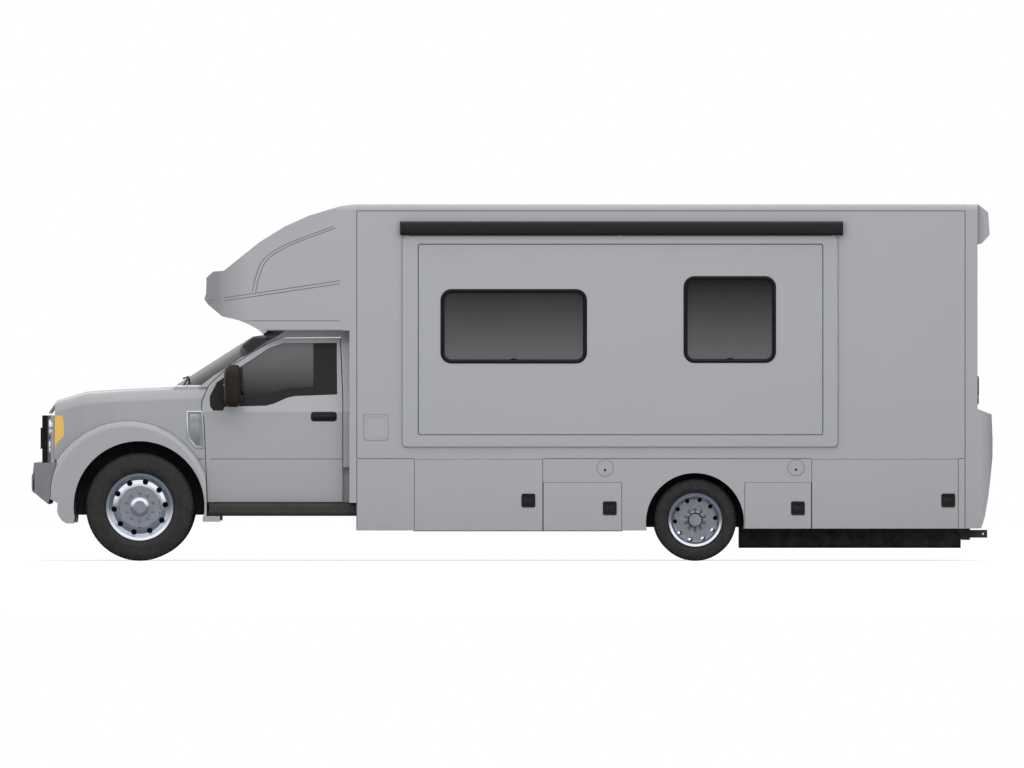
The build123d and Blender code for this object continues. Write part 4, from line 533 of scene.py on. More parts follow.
def finish_values():
    """Maker of each finish, with this motorhome's own values."""
    tints = bpy.context.scene.motorhome_finish
    dark = tuple(c * 0.5 for c in tints.line)
    return {
        "body_paint": (paint_finish, tints.body),
        "joint_sealer": (paint_finish, tints.line, 0.5, 0.1),
        "slide_seal": (plastic_finish, dark, 0.6),
        "roof_skin": (paint_finish, tints.body, 0.5, 0.2, 0.08),
        "chassis_paint": (paint_finish, (0.012, 0.012, 0.013), 0.5, 0.2, 0.2, 0.45, 1.1),
        "engine_casting": (metal_finish, (0.12, 0.12, 0.125), 0.5, 0.1, 0.3, 1.2),
        "tank_plastic": (plastic_finish, (0.012, 0.012, 0.013), 0.55, 180.0, 0.3, 0.5, 0.8),
        "black_trim": (plastic_finish, tints.trim, 0.42, 420.0, 0.3, 0.10, 0.8),
        "step_plastic": (plastic_finish, (0.030, 0.032, 0.030), 0.5, 300.0, 0.4, 0.3, 0.7),
        "mirror_plastic": (plastic_finish, tints.mirror, 0.34, 520.0, 0.18, 0.0),
        "gloss_black": (plastic_finish, (0.005, 0.005, 0.006), 0.2, 900.0, 0.03, 0.0, 0.9, 0.25),
        "seal_rubber": (plastic_finish, (0.010, 0.010, 0.011), 0.65, 300.0, 0.2, 0.0),
        "tyre_rubber": (tyre_finish, tints.rubber),
        # The last pair of each alloy gives the |Y| limits of its painted shade inside the wheel.
        "front_alloy": (metal_finish, (0.60, 0.63, 0.69), 0.16, 0.0, 0.06, 0.6, (1.098, 1.104)),
        "rear_alloy": (metal_finish, (0.60, 0.63, 0.69), 0.16, 0.0, 0.06, 0.6, (0.946, 0.950)),
        "brushed_alloy": (metal_finish, (0.42, 0.43, 0.44), 0.38, 0.25, 0.1, 0.8),
        "bright_chrome": (metal_finish, (0.74, 0.75, 0.77), 0.07, 0.0, 0.05, 0.9),
        "dull_steel": (metal_finish, (0.35, 0.35, 0.36), 0.4, 0.2, 0.3, 1.0),
        # The panes below carry a painted reflection, a tone that changes with height.
        "cab_glass": (
            painted_reflection_pane_finish, (0.008, 0.008, 0.009), (0.190, 0.192, 0.198), 1.62, 2.06, 0.92),
        "screen_glass": (
            painted_reflection_pane_finish, (0.008, 0.008, 0.009), (0.120, 0.123, 0.128), 1.74, 2.20, 0.96, 0.02),
        "house_pane": (
            painted_reflection_pane_finish, (0.125, 0.128, 0.132), (0.012, 0.012, 0.013), 1.96, 2.72),
        "mirror_silver": (metal_finish, (0.90, 0.91, 0.92), 0.03, 0.0, 0.0),
        "lamp_shell": (glass_finish, (0.80, 0.82, 0.85), 0.22, 0.02),
        "amber_lens": (lens_finish, (1.0, 0.60, 0.14)),
        "red_lens": (lens_finish, (0.42, 0.012, 0.012)),
        "clear_lens": (lens_finish, (0.78, 0.80, 0.83)),
        "dash_plastic": (plastic_finish, (0.035, 0.035, 0.037), 0.6, 350.0, 0.4, 0.0),
        "seat_cloth": (cloth_finish, tints.seat),
        "seat_edge": (cloth_finish, [c * 0.55 for c in tints.seat], 0.003),
        "floor_vinyl": (board_finish, (0.30, 0.22, 0.15)),
        "bay_sheet": (paint_finish, (0.16, 0.16, 0.165), 0.5, 0.1, 0.1, 0.35, 1.0),
    }


def finish(name):
    """Material by name, built at its first use."""
    if name not in finishes:
        make, *values = finish_values()[name]
        finishes[name] = make(name, *values)
    return finishes[name]


def recoat(node, name):
    """CAD node with all its slots in one finish."""
    mesh = nodes[node].data
    if not mesh.materials:
        mesh.materials.append(None)
    for index in range(len(mesh.materials)):
        mesh.materials[index] = finish(name)


# Mesh helpers

def new_piece(name, mesh, body, record_slot, *finish_names):
    """Finished mesh as a piece that rides on a body."""
    piece = bpy.data.objects.new(name, mesh)
    bpy.context.scene.collection.objects.link(piece)
    for finish_name in finish_names:
        mesh.materials.append(finish(finish_name))
    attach(piece, body)
    return piece


def add_piece(bm, name, smooth, body, record_slot, *finish_names):
    """Piece of a bmesh, smooth up to an angle in degrees, that rides on a body."""
    return new_piece(name, mesh_from(bm, name, smooth), body, record_slot, *finish_names)


def mesh_from(bm, name, smooth=None):
    """Mesh of a bmesh, with smooth shading up to an angle in degrees where one is given."""
    bmesh.ops.remove_doubles(bm, verts=bm.verts, dist=1e-6)
    bmesh.ops.recalc_face_normals(bm, faces=bm.faces)
    mesh = bpy.data.meshes.new(name)
    if smooth is not None:
        limit = math.radians(smooth)
        for face in bm.faces:
            face.smooth = True
        for edge in bm.edges:
            edge.smooth = not (len(edge.link_faces) == 2 and edge.calc_face_angle(0.0) > limit)
    bm.to_mesh(mesh)
    bm.free()
    return mesh


def join_loops(bm, loops, index=0, closed=False):
    """Faces between each loop of points and the next, and from the last to the first where closed."""
    for a, b in zip(loops, loops[1:] + (loops[:1] if closed else [])):
        for i in range(len(a)):
            j = (i + 1) % len(a)
            bm.faces.new((a[i], a[j], b[j], b[i])).material_index = index


def anticlockwise(outline):
    """Closed outline with its points in anticlockwise order."""
    area = sum(a[0] * b[1] - b[0] * a[1] for a, b in zip(outline, outline[1:] + outline[:1]))
    return outline if area > 0 else outline[::-1]


def plate(bm, outline, near, far, bevel=0.0, index=0):
    """Closed plate of an (x, z) outline between two y, with its far edge rounded over."""
    ring = anticlockwise(outline)
    rings = [(ring, near)]
    if bevel:
        step = bevel * (1 if far > near else -1)
        rings.append((ring, far - step))
        rings.append((shrunk(ring, bevel * 0.3), far - step * 0.3))
        rings.append((shrunk(ring, bevel), far))
    else:
        rings.append((ring, far))
    loops = [[bm.verts.new((x, y, z)) for x, z in points] for points, y in rings]
    bm.faces.new(loops[0][::-1]).material_index = index
    bm.faces.new(loops[-1]).material_index = index
    join_loops(bm, loops, index)


def shrunk(points, by):
    """Closed anticlockwise outline drawn in by a distance."""
    inner = []
    count = len(points)
    for i in range(count):
        p0, p1, p2 = (Vector(points[(i + k) % count]) for k in (-1, 0, 1))
        d0 = (p1 - p0).normalized()
        d1 = (p2 - p1).normalized()
        n0 = Vector((-d0.y, d0.x))
        n1 = Vector((-d1.y, d1.x))
        spread = (n0 + n1)
        scale = by / max(0.35, spread.length_squared / 2)
        inner.append(tuple(p1 + spread * scale))
    return inner


def rounded(x0, x1, z0, z1, radius, steps=6):
    """Rounded rectangle as an anticlockwise outline."""
    points = []
    for cx, cz, start in ((x1 - radius, z0 + radius, -90), (x1 - radius, z1 - radius, 0),
                          (x0 + radius, z1 - radius, 90), (x0 + radius, z0 + radius, 180)):
        for i in range(steps + 1):
            a = math.radians(start + 90 * i / steps)
            points.append((cx + radius * math.cos(a), cz + radius * math.sin(a)))
    return points


def rounded_square(x, z, half, radius):
    """Rounded square about a point."""
    return rounded(x - half, x + half, z - half, z + half, radius, 5)


def ring_plate(bm, outer, inner, near, far, bevel=0.0, index=0):
    """Flat frame between two outlines of equal count, rounded over on its far side."""
    step = bevel * (1 if far > near else -1)
    levels = [(outer, near)]
    if bevel:
        levels += [(outer, far - step), (shrunk(outer, bevel * 0.3), far - step * 0.3),
                   (shrunk(outer, bevel), far), (shrunk(inner, -bevel), far),
                   (shrunk(inner, -bevel * 0.3), far - step * 0.3), (inner, far - step)]
    else:
        levels += [(outer, far), (inner, far)]
    levels.append((inner, near))
    loops = [[bm.verts.new((x, y, z)) for x, z in points] for points, y in levels]
    join_loops(bm, loops, index, True)


def turned(bm, profile, centre, steps=48, index=0, closed=False):
    """Surface of revolution about the Y axis through a centre; profile of (y, radius)."""
    loops = []
    for y, r in profile:
        if r < 1e-6:
            loops.append([bm.verts.new((centre[0], centre[1] + y, centre[2]))])
            continue
        loops.append([bm.verts.new((centre[0] + r * math.cos(2 * math.pi * i / steps), centre[1] + y,
                                    centre[2] + r * math.sin(2 * math.pi * i / steps)))
                      for i in range(steps)])
    for a, b in zip(loops, loops[1:] + (loops[:1] if closed else [])):
        for i in range(steps):
            j = (i + 1) % steps
            corners = [a[i % len(a)], a[j % len(a)], b[j % len(b)], b[i % len(b)]]
            unique = list(dict.fromkeys(corners))
            if len(unique) > 2:
                bm.faces.new(unique).material_index = index


def face_forward(bm, start, place):
    """Turn what was added since a vertex count to face the front, and move it to its place."""
    bm.verts.ensure_lookup_table()
    fresh = bm.verts[start:]
    bmesh.ops.rotate(bm, verts=fresh, cent=(0, 0, 0), matrix=Matrix.Rotation(-math.pi / 2, 3, "Z"))
    bmesh.ops.translate(bm, verts=fresh, vec=place)


def swept(bm, path, radius, steps=8, index=0, flat=1.0):
    """Tube of a radius along a path of points, with closed ends."""
    points = [Vector(p) for p in path]
    loops = []
    for i, point in enumerate(points):
        ahead = (points[min(i + 1, len(points) - 1)] - points[max(i - 1, 0)]).normalized()
        side = ahead.cross(Vector((0, 1, 0)))
        if side.length < 1e-3:
            side = ahead.cross(Vector((1, 0, 0)))
        side.normalize()
        up = side.cross(ahead)
        loops.append([bm.verts.new(point + side * radius * math.cos(a) + up * radius * flat * math.sin(a))
                      for a in (2 * math.pi * k / steps for k in range(steps))])
    join_loops(bm, loops, index)
    bm.faces.new(loops[0][::-1]).material_index = index
    bm.faces.new(loops[-1]).material_index = index


# Finishes of the frame's own pieces

class PaintFrame(bpy.types.Operator):
    """Gives every piece of the frame its finish"""

    bl_idname = "motorhome.paint_frame"
    bl_label = "Paint the frame"

    coats = {
        "body_paint": (
            "left_wall", "right_wall", "front_cap", "rear_cap", "left_skirt", "right_skirt", "slide_room",
            "entry_door", "awning_case", "cab_shell", "front_fenders", "hood", "cab_door_left",
            "cab_door_right", "hatch_left_1", "hatch_left_2", "hatch_left_3", "hatch_left_4",
            "hatch_right_1", "hatch_right_2"),
        "roof_skin": ("roof_panel",),
        "chassis_paint": (
            "frame_rails", "front_axle", "rear_axle", "leaf_springs", "knuckle_left", "knuckle_right",
            "hitch_frame", "entry_step"),
        "engine_casting": ("engine_block",),
        "tank_plastic": ("fuel_tank", "tank_pan"),
        "front_alloy": ("front_wheel_left", "front_wheel_right"),
        "rear_alloy": ("rear_wheels_left", "rear_wheels_right"),
        "tyre_rubber": ("front_tyre_left", "front_tyre_right", "rear_tyres_left", "rear_tyres_right"),
        "screen_glass": ("windshield",),
        "cab_glass": ("cab_glass_left", "cab_glass_right"),
        "black_trim": ("door_fittings_left", "door_fittings_right", "wheel_liners"),
        "step_plastic": ("side_steps",),
        "gloss_black": ("grille", "coach_windows", "slide_windows", "entry_glass"),
        "clear_lens": ("headlamps",),
        "amber_lens": ("marker_lamps",),
        "red_lens": ("tail_lamps",),
        "bright_chrome": ("front_bumper",),
        "dash_plastic": ("dashboard",),
        "seat_cloth": ("cab_seats",),
        "floor_vinyl": ("coach_floor",),
        "bay_sheet": ("storage_bays",),
    }

    def execute(self, context):
        for name, members in self.coats.items():
            for node in members:
                recoat(node, name)
        return {"FINISHED"}


# Tyres and wheel fittings

def tyre_mesh(bm, centre, radius, width, bead_r, pitches, groove, side):
    """Tyre with grooved tread blocks, shoulder slots and ribbed sidewalls."""
    half = width / 2
    crown = half * 0.78
    columns = [(-half * 0.72, bead_r), (-half * 0.80, bead_r + 0.010), (-half * 0.93, bead_r + 0.030)]
    wall = radius - bead_r
    for share, bulge in ((0.30, 0.985), (0.34, 0.985), (0.345, 1.0), (0.40, 1.0), (0.405, 0.99),
                         (0.55, 0.985), (0.70, 0.955), (0.705, 0.965), (0.735, 0.955), (0.74, 0.945),
                         (0.86, 0.90), (0.93, 0.86)):
        columns.append((-half * bulge, bead_r + wall * share))
    columns.append((-crown * 1.03, radius - 0.006))
    grooves = (-0.66, -0.24, 0.24, 0.66)
    rib = 0.05
    tread = [-1.0, -0.93]
    for g in grooves:
        tread += [g - rib - 0.015, g - rib, g + rib, g + rib + 0.015]
    tread += [0.93, 1.0]
    tread_columns = [(t * crown, radius - 0.004 * t * t) for t in tread]
    mirrored = [(-y, r) for y, r in columns[::-1]]
    profile = columns + tread_columns + mirrored
    first = len(columns)
    steps = pitches * 4
    loops = []
    for i in range(steps):
        a = 2 * math.pi * i / steps
        phase = i % 4
        loop = []
        for k, (y, r) in enumerate(profile):
            t = tread[k - first] if first <= k < first + len(tread_columns) else None
            deep = 0.0
            if t is not None:
                lane = min(abs(t - g) for g in grooves)
                if lane < rib * 1.01:
                    deep = groove
                elif abs(t) > 0.7 and phase in (0, 1):
                    deep = groove * 0.8
                elif abs(t) < 0.6 and phase == (2 if t > 0 else 3):
                    deep = groove * 0.35
            elif k in (first - 1, first - 2, first + len(tread_columns), first + len(tread_columns) + 1):
                if phase in (0, 1):
                    deep = groove * 0.7
            rr = r - deep
            loop.append(bm.verts.new((centre[0] + rr * math.cos(a), centre[1] + y * side,
                                      centre[2] + rr * math.sin(a))))
        loops.append(loop)
    count = len(profile)
    for i in range(steps):
        a, b = loops[i], loops[(i + 1) % steps]
        for k in range(count - 1):
            bm.faces.new((a[k], a[k + 1], b[k + 1], b[k]))
        bm.faces.new((a[count - 1], a[0], b[0], b[count - 1]))


class MakeTyres(bpy.types.Operator):
    """Tyres with tread blocks and ribbed sidewalls on all six wheels"""

    bl_idname = "motorhome.make_tyres"
    bl_label = "Tyres"

    #  radius, width, radius of the bead
    front_size = (0.5245, 0.286, 0.327)
    rear_size = (0.3995, 0.224, 0.261)

    def execute(self, context):
        tread = context.scene.motorhome_tyres
        for word, side in SIDES.items():
            bm = bmesh.new()
            x, z = FRONT_AXLE
            tyre_mesh(bm, (x, side * FRONT_TRACK, z), *self.front_size, tread.front_pitches,
                      tread.groove, side)
            self.place(bm, "front_tyre_" + word, "front_wheel_" + word)
            bm = bmesh.new()
            x, z = REAR_AXLE
            for y in REAR_TRACKS:
                tyre_mesh(bm, (x, side * y, z), *self.rear_size, tread.rear_pitches,
                          tread.groove * 0.85, side)
            self.place(bm, "rear_tyres_" + word, "rear_wheels_" + word)
        return {"FINISHED"}

    def place(self, bm, node, body):
        """Tyre mesh in place of its solid."""
        piece = add_piece(bm, node + "_treaded", 28, body, "tyre_rubber", "tyre_rubber")
        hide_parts(node)


class MakeWheelFittings(bpy.types.Operator):
    """Wheel nuts"""

    bl_idname = "motorhome.make_wheel_fittings"
    bl_label = "Wheel nuts"

    def execute(self, context):
        for word, side in SIDES.items():
            self.fit("front_wheel_" + word, FRONT_AXLE, side, 0.136, 0.012)
            self.fit("rear_wheels_" + word, REAR_AXLE, side, 0.1, 0.011)
        return {"FINISHED"}

    def fit(self, node, centre, side, circle, across):
        """Ten nuts on a circle, seated on the wheel's disc."""
        tree = surface_tree(node)
        bm = bmesh.new()
        for i in range(NUTS):
            a = 2 * math.pi * (i + 0.5) / NUTS
            x, z = centre[0] + circle * math.cos(a), centre[1] + circle * math.sin(a)
            y = surface_y(tree, x, z, side)
            if y is None:
                raise RuntimeError(node + " has no disc below its nuts")
            turned(bm, [(0, across * 1.5), (side * 0.004, across * 1.5), (side * 0.004, across * 1.15),
                        (side * 0.020, across * 1.1), (side * 0.024, across * 0.8), (side * 0.024, 0)],
                   (x, y, z), 6)
        add_piece(bm, node + "_nuts", 30, node, "wheel_alloy", "dull_steel")


class MakeWheelHouses(bpy.types.Operator):
    """Inner aprons of the front wheel houses and dust shields behind the front wheels"""

    bl_idname = "motorhome.make_wheel_houses"
    bl_label = "Front wheel houses"

    arch = (-3.624, 0.529, 0.629)
    axle_notch = (-3.735, -3.505, 0.640)
    low = 0.445

    def execute(self, context):
        cx, cz, r = self.arch
        x0, x1, top = self.axle_notch
        outline = [(cx - r, self.low), (x0, self.low), (x0, top), (x1, top), (x1, self.low),
                   (cx + r, self.low)]
        outline += [(cx + r * math.cos(a), cz + r * math.sin(a))
                    for a in (math.radians(d) for d in range(0, 181, 6))]
        bm = bmesh.new()
        for side in SIDES.values():
            plate(bm, outline, side * 0.552, side * 0.556)
        add_piece(bm, "wheel_house_aprons", 30, ROOT, "black_trim", "tank_plastic")
        for word, side in SIDES.items():
            bm = bmesh.new()
            profile = ((0.955, 0.125), (0.960, 0.125), (0.960, 0.240), (0.968, 0.250), (0.968, 0.272),
                       (0.955, 0.272), (0.955, 0.262), (0.950, 0.250))
            turned(bm, [(side * y, radius) for y, radius in profile],
                   (FRONT_AXLE[0], 0, FRONT_AXLE[1]), 56, 0, True)
            add_piece(bm, "dust_shield_" + word, 35, "knuckle_" + word,
                      "suspension_black", "chassis_paint")
        return {"FINISHED"}


# Places on the frame's faces

surface_trees = {}


def surface_tree(node):
    """Search tree of a CAD node's faces."""
    if node not in surface_trees:
        mesh = nodes[node].data
        points = [nodes[node].matrix_world @ v.co for v in mesh.vertices]
        surface_trees[node] = BVHTree.FromPolygons(points, [tuple(p.vertices) for p in mesh.polygons])
    return surface_trees[node]


def surface_y(tree, x, z, side):
    """Y of the outermost face at (x, z) on one side, or None."""
    hit = tree.ray_cast(Vector((x, side * 3.0, z)), Vector((0, -side, 0)))
    return None if hit[0] is None else hit[0].y


def joint_line(bm, node, path, side, width, height, index=0, spacing=0.04):
    """Sealed joint that follows an (x, z) path over a node's outer face."""
    tree = surface_tree(node)
    points = []
    for a, b in zip(path, path[1:]):
        run = math.dist(a, b)
        parts = max(1, int(run / spacing))
        points += [(a[0] + (b[0] - a[0]) * i / parts, a[1] + (b[1] - a[1]) * i / parts) for i in range(parts)]
    points.append(path[-1])
    placed = []
    for x, z in points:
        y = surface_y(tree, x, z, side)
        if y is not None:
            placed.append((x, y, z))
    if len(placed) > 1:
        swept(bm, placed, width / 2, 6, index, flat=2 * height / width)


def smooth_path(points, parts=6):
    """Points of a curve that passes through the given ones."""
    out = []
    for i in range(len(points) - 1):
        p0, p1 = points[max(i - 1, 0)], points[i]
        p2, p3 = points[i + 1], points[min(i + 2, len(points) - 1)]
        for k in range(parts):
            t = k / parts
            out.append(tuple(
                0.5 * (2 * b + (c - a) * t + (2 * a - 5 * b + 4 * c - d) * t * t
                       + (3 * b - a - 3 * c + d) * t ** 3)
                for a, b, c, d in zip(p0, p1, p2, p3)))
    out.append(points[-1])
    return out


# Joints and swages of the bodywork

class MakeJoints(bpy.types.Operator):
    """Sealed joints, swages and edge trims of the bodywork"""

    bl_idname = "motorhome.make_joints"
    bl_label = "Joints and swages"

    #  node, path in metres
    shell = (
        ("left_wall", ((-1.508, 0.995), (-1.508, 3.402))),
        ("left_wall", ((-1.508, 3.402), (4.402, 3.402))),
        ("left_wall", ((4.402, 3.402), (4.402, 0.995))),
        ("left_skirt", ((-1.508, 0.30), (-1.508, 0.985))),
        ("left_skirt", ((4.402, 0.32), (4.402, 0.985))),
    )
    #  runs of the waist joint, clear of the hatches that open past it
    waist = {
        "left": ((-1.508, -0.952), (0.301, 2.910), (4.338, 4.402)),
        "right": ((-1.508, 0.050), (1.069, 2.910), (4.338, 4.402)),
    }
    cap_swage = ((-2.985, 2.529), (-2.60, 2.587), (-1.674, 2.724))
    cap_arc = ((-2.521, 2.623), (-2.492, 2.755), (-2.427, 2.914), (-2.301, 3.019), (-2.132, 3.103),
               (-1.737, 3.251))
    cap_low = ((-2.617, 2.334), (-1.674, 2.334))
    cab_round = ((-2.416, 2.245), (-1.640, 2.245), (-1.600, 2.225), (-1.588, 2.19))
    fender_line = (-3.730, 0.556, 0.803)

    def execute(self, context):
        trim = context.scene.motorhome_trim
        w, h = trim.line_width, trim.line_height
        for word, side in SIDES.items():
            bm = bmesh.new()
            for node, path in self.shell:
                joint_line(bm, node.replace("left", word), path, side, w, h)
            for x0, x1 in self.waist[word]:
                joint_line(bm, word + "_wall", ((x0, 0.995), (x1, 0.995)), side, w, h)
            for drop in (0.0, 0.030):
                shift = [(x, z - drop) for x, z in smooth_path(self.cap_swage)]
                joint_line(bm, "front_cap", shift, side, w * 0.8, h * 2)
                arc = [(x + drop, z - drop * 0.4) for x, z in smooth_path(self.cap_arc)]
                joint_line(bm, "front_cap", arc, side, w * 0.8, h * 2)
            joint_line(bm, "front_cap", self.cap_low, side, w * 0.7, h)
            joint_line(bm, "front_cap", self.cab_round, side, w * 0.7, h)
            add_piece(bm, "body_joints_" + word, 60, ROOT, "body_paint", "joint_sealer")
            bm = bmesh.new()
            joint_line(bm, "cab_door_" + word, ((-2.978, 0.991), (-1.655, 0.991)), side, w * 0.8, h)
            add_piece(bm, "cab_door_crease_" + word, 60, "cab_door_" + word, "cab_paint", "joint_sealer")
            bm = bmesh.new()
            joint_line(bm, "front_fenders", ((-3.061, 0.991), (-3.000, 0.991)), side, w * 0.8, h)
            joint_line(bm, "cab_shell", ((-1.648, 0.991), (-1.570, 0.991)), side, w * 0.8, h)
            cx, cz, r = self.fender_line
            arc = [(cx + r * math.cos(a), cz + r * math.sin(a))
                   for a in (math.radians(d) for d in range(-8, 181, 3))]
            joint_line(bm, "front_fenders", [(x, z) for x, z in arc if z > 0.45], side, w * 0.8, h)
            add_piece(bm, "fender_seam_" + word, 60, ROOT, "cab_paint", "joint_sealer")
            if side == LEFT:
                self.slide_lines(side)
        return {"FINISHED"}

    def slide_lines(self, side):
        """Dark seal round the slide-out room's fascia, and the edge of its raised rim."""
        bm = bmesh.new()
        for limits, radius, y, width in (
                ((-1.066, 3.165, 1.110, 3.160), 0.040, 1.2935, 0.010),
                ((-0.914, 3.023, 1.223, 3.081), 0.024, 1.2915, 0.008)):
            path = rounded(*limits, radius)
            inner = shrunk(path, width)
            ring_plate(bm, path, inner, side * (y - 0.006), side * y, 0.001)
        add_piece(bm, "slide_seals", 40, "slide_room", "black_trim", "slide_seal")


# Windows of the coach

class MakeHouseWindows(bpy.types.Operator):
    """Framed dark windows of the coach, its slide-out room and the entry door"""

    bl_idname = "motorhome.make_house_windows"
    bl_label = "Coach windows"

    slide_windows = ((-0.695, 0.729, 1.919, 2.643), (1.666, 2.565, 1.924, 2.769))
    right_windows = ((0.250, 1.450, 1.919, 2.643), (2.350, 3.250, 1.919, 2.643))
    door_window = (-1.130, -0.700, 1.660, 2.330)

    def execute(self, context):
        self.glaze("slide_windows", self.slide_windows, FASCIA_FACE, LEFT, "slide_room")
        self.glaze("coach_windows", self.right_windows, COACH_FACE, RIGHT, ROOT)
        self.glaze_door()
        return {"FINISHED"}

    def glaze(self, node, windows, face, side, body):
        """Clamped frame, liner, seal, pane and catch of each window."""
        trim = bpy.context.scene.motorhome_trim
        bm = bmesh.new()
        panes = bmesh.new()
        for x0, x1, z0, z1 in windows:
            outer = rounded(x0, x1, z0, z1, trim.window_radius, 10)
            inner = shrunk(outer, trim.window_frame)
            ring_plate(bm, outer, inner, side * (face + 0.0003), side * (face + 0.0075), 0.003)
            ring_plate(bm, shrunk(outer, 0.0112), shrunk(outer, 0.022), side * (face - 0.037), side * face)
            ring_plate(bm, shrunk(outer, 0.022), shrunk(outer, trim.window_frame + 0.006),
                       side * (face - 0.018), side * (face - 0.006), 0.002)
            plate(panes, shrunk(outer, 0.024), side * (face - 0.016), side * (face - 0.010))
            self.catch(bm, (x0 + x1) / 2, z0, face, side)
        piece = add_piece(bm, node + "_frames", 40, body, "house_glass", "gloss_black")
        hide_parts(node)
        add_piece(panes, node + "_panes", 30, body, "house_glass", "house_pane")

    def catch(self, bm, middle, z0, face, side):
        """Slim catch at the foot of the pane."""
        plate(bm, rounded(middle - 0.03, middle + 0.03, z0 + 0.036, z0 + 0.050, 0.006, 4),
              side * (face - 0.010), side * (face - 0.004), 0.002)

    def glaze_door(self):
        """Window of the entry door."""
        bm = bmesh.new()
        panes = bmesh.new()
        x0, x1, z0, z1 = self.door_window
        outer = rounded(x0 - 0.012, x1 + 0.012, z0 - 0.012, z1 + 0.012, 0.080, 8)
        ring_plate(bm, outer, shrunk(outer, 0.040), 1.2703, 1.2765, 0.0025)
        ring_plate(bm, shrunk(outer, 0.0125), shrunk(outer, 0.040), 1.245, 1.2703)
        plate(panes, shrunk(outer, 0.014), 1.252, 1.258)
        piece = add_piece(bm, "entry_window_frame", 40, "entry_door", "house_glass", "gloss_black")
        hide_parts("entry_glass")
        add_piece(panes, "entry_window_pane", 30, "entry_door", "house_glass", "house_pane")


# Front end

class MakeFrontEnd(bpy.types.Operator):
    """Head lamps with their bowls, grille mesh, valance and fog lamps"""

    bl_idname = "motorhome.make_front_end"
    bl_label = "Front end"

    lamp_plan = ((-4.527, 0.561), (-4.516, 0.820), (-4.490, 0.905), (-4.449, 0.905), (-4.449, 0.561))
    lamp_z = (0.957, 1.413)
    bowls = ((0.655, 1.300, 0.078), (0.655, 1.110, 0.070), (0.815, 1.300, 0.052))
    valance = ((-4.604, 0.628), (-4.505, 0.549), (-4.491, 0.585), (-4.560, 0.650))
    fog_lamp = (-4.659, 0.88, 0.79)

    def execute(self, context):
        shell = bmesh.new()
        lens = bmesh.new()
        for side in SIDES.values():
            self.housing(shell, side)
            self.cover(lens, side)
        piece = add_piece(shell, "head_lamp_housings", 40, ROOT, "lamp_clear",
                          "bright_chrome", "clear_lens", "gloss_black")
        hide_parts("headlamps")
        add_piece(lens, "head_lamp_covers", 30, ROOT, "lamp_clear", "lamp_shell")
        self.grille_mesh()
        self.make_valance()
        self.make_vents()
        return {"FINISHED"}

    def housing(self, bm, side):
        """Chrome bucket with round bowls set into its front."""
        z0, z1 = self.lamp_z
        plan = [(x + 0.026, y) if x < -4.50 else (x, y) for x, y in self.lamp_plan]
        plan[2] = (-4.470, 0.895)
        loops = [[bm.verts.new((x, side * y, z)) for x, y in plan] for z in (z0, z1)]
        bm.faces.new(loops[0])
        bm.faces.new(loops[1][::-1])
        join_loops(bm, loops)
        for y, z, r in self.bowls:
            front = -4.500 if y < 0.8 else -4.485
            start = len(bm.verts)
            for index, profile in ((0, ((0.004, r), (-0.008, r), (-0.010, r - 0.004), (-0.001, r - 0.010),
                                         (0.003, r * 0.55), (0.003, 0))),
                                   (1, ((-0.002, r * 0.50), (-0.009, r * 0.44), (-0.013, r * 0.25),
                                        (-0.014, 0)))):
                turned(bm, profile, (0, 0, 0), 28, index)
            face_forward(bm, start, (front, side * y, z))

    def cover(self, bm, side):
        """Clear skin that wraps the front corner."""
        z0, z1 = self.lamp_z
        path = self.lamp_plan[:4]
        for a, b in zip(path, path[1:]):
            out = [bm.verts.new((x, side * y, z)) for x, y in (a, b) for z in (z0, z1)]
            bm.faces.new((out[0], out[1], out[3], out[2]))

    def grille_mesh(self):
        """Slats behind the grille's openings, with a chrome strip along its band."""
        bm = bmesh.new()
        for k in range(-43, 44):
            y = k * 0.0118
            for z0, z1 in ((1.000, 1.086), (1.296, 1.372)):
                corners = rounded(-4.545, -4.520, z0, z1, 0.003, 2)
                plate(bm, corners, y - 0.0016, y + 0.0016)
        add_piece(bm, "grille_slats", 30, ROOT, "black_gloss", "gloss_black")
        bm = bmesh.new()
        for z in (1.095, 1.287):
            swept(bm, [(-4.5945, y, z) for y in (-0.525, 0, 0.525)], 0.0055, 8)
        add_piece(bm, "grille_strips", 60, ROOT, "chrome", "bright_chrome")

    def make_valance(self):
        """Dark lip below the bumper with a fog lamp at each end."""
        bm = bmesh.new()
        plate(bm, list(self.valance), -1.10, 1.10)
        add_piece(bm, "front_valance", 30, ROOT, "black_trim", "black_trim")
        bm = bmesh.new()
        x, y, z = self.fog_lamp
        for side in SIDES.values():
            start = len(bm.verts)
            turned(bm, ((0.0, 0.052), (-0.010, 0.052), (-0.014, 0.046), (-0.008, 0.042)), (0, 0, 0), 28, 1)
            turned(bm, ((-0.008, 0.042), (-0.010, 0.024), (-0.011, 0)), (0, 0, 0), 28, 0)
            face_forward(bm, start, (x, side * y, z))
        add_piece(bm, "fog_lamps", 30, ROOT, "lamp_clear", "clear_lens", "gloss_black")

    def make_vents(self):
        """Chrome-edged vent behind each front wheel."""
        outline = [(-3.163, 1.457), (-3.163, 1.205), (-3.085, 1.100), (-3.000, 1.088), (-3.012, 1.457)]
        for word, side in SIDES.items():
            tree = surface_tree("front_fenders")
            y = surface_y(tree, -3.09, 1.35, side)
            bm = bmesh.new()
            ring = anticlockwise(outline)
            back = y - side * 0.003
            ring_plate(bm, ring, shrunk(ring, 0.014), back, y + side * 0.009, 0.002, 0)
            plate(bm, shrunk(ring, 0.013), back, y + side * 0.002, 0, 1)
            plate(bm, shrunk(ring, 0.030), back, y + side * 0.006, 0.003, 1)
            add_piece(bm, "fender_vent_" + word, 35, ROOT, "chrome", "bright_chrome", "brushed_alloy")


# Doors of the cab

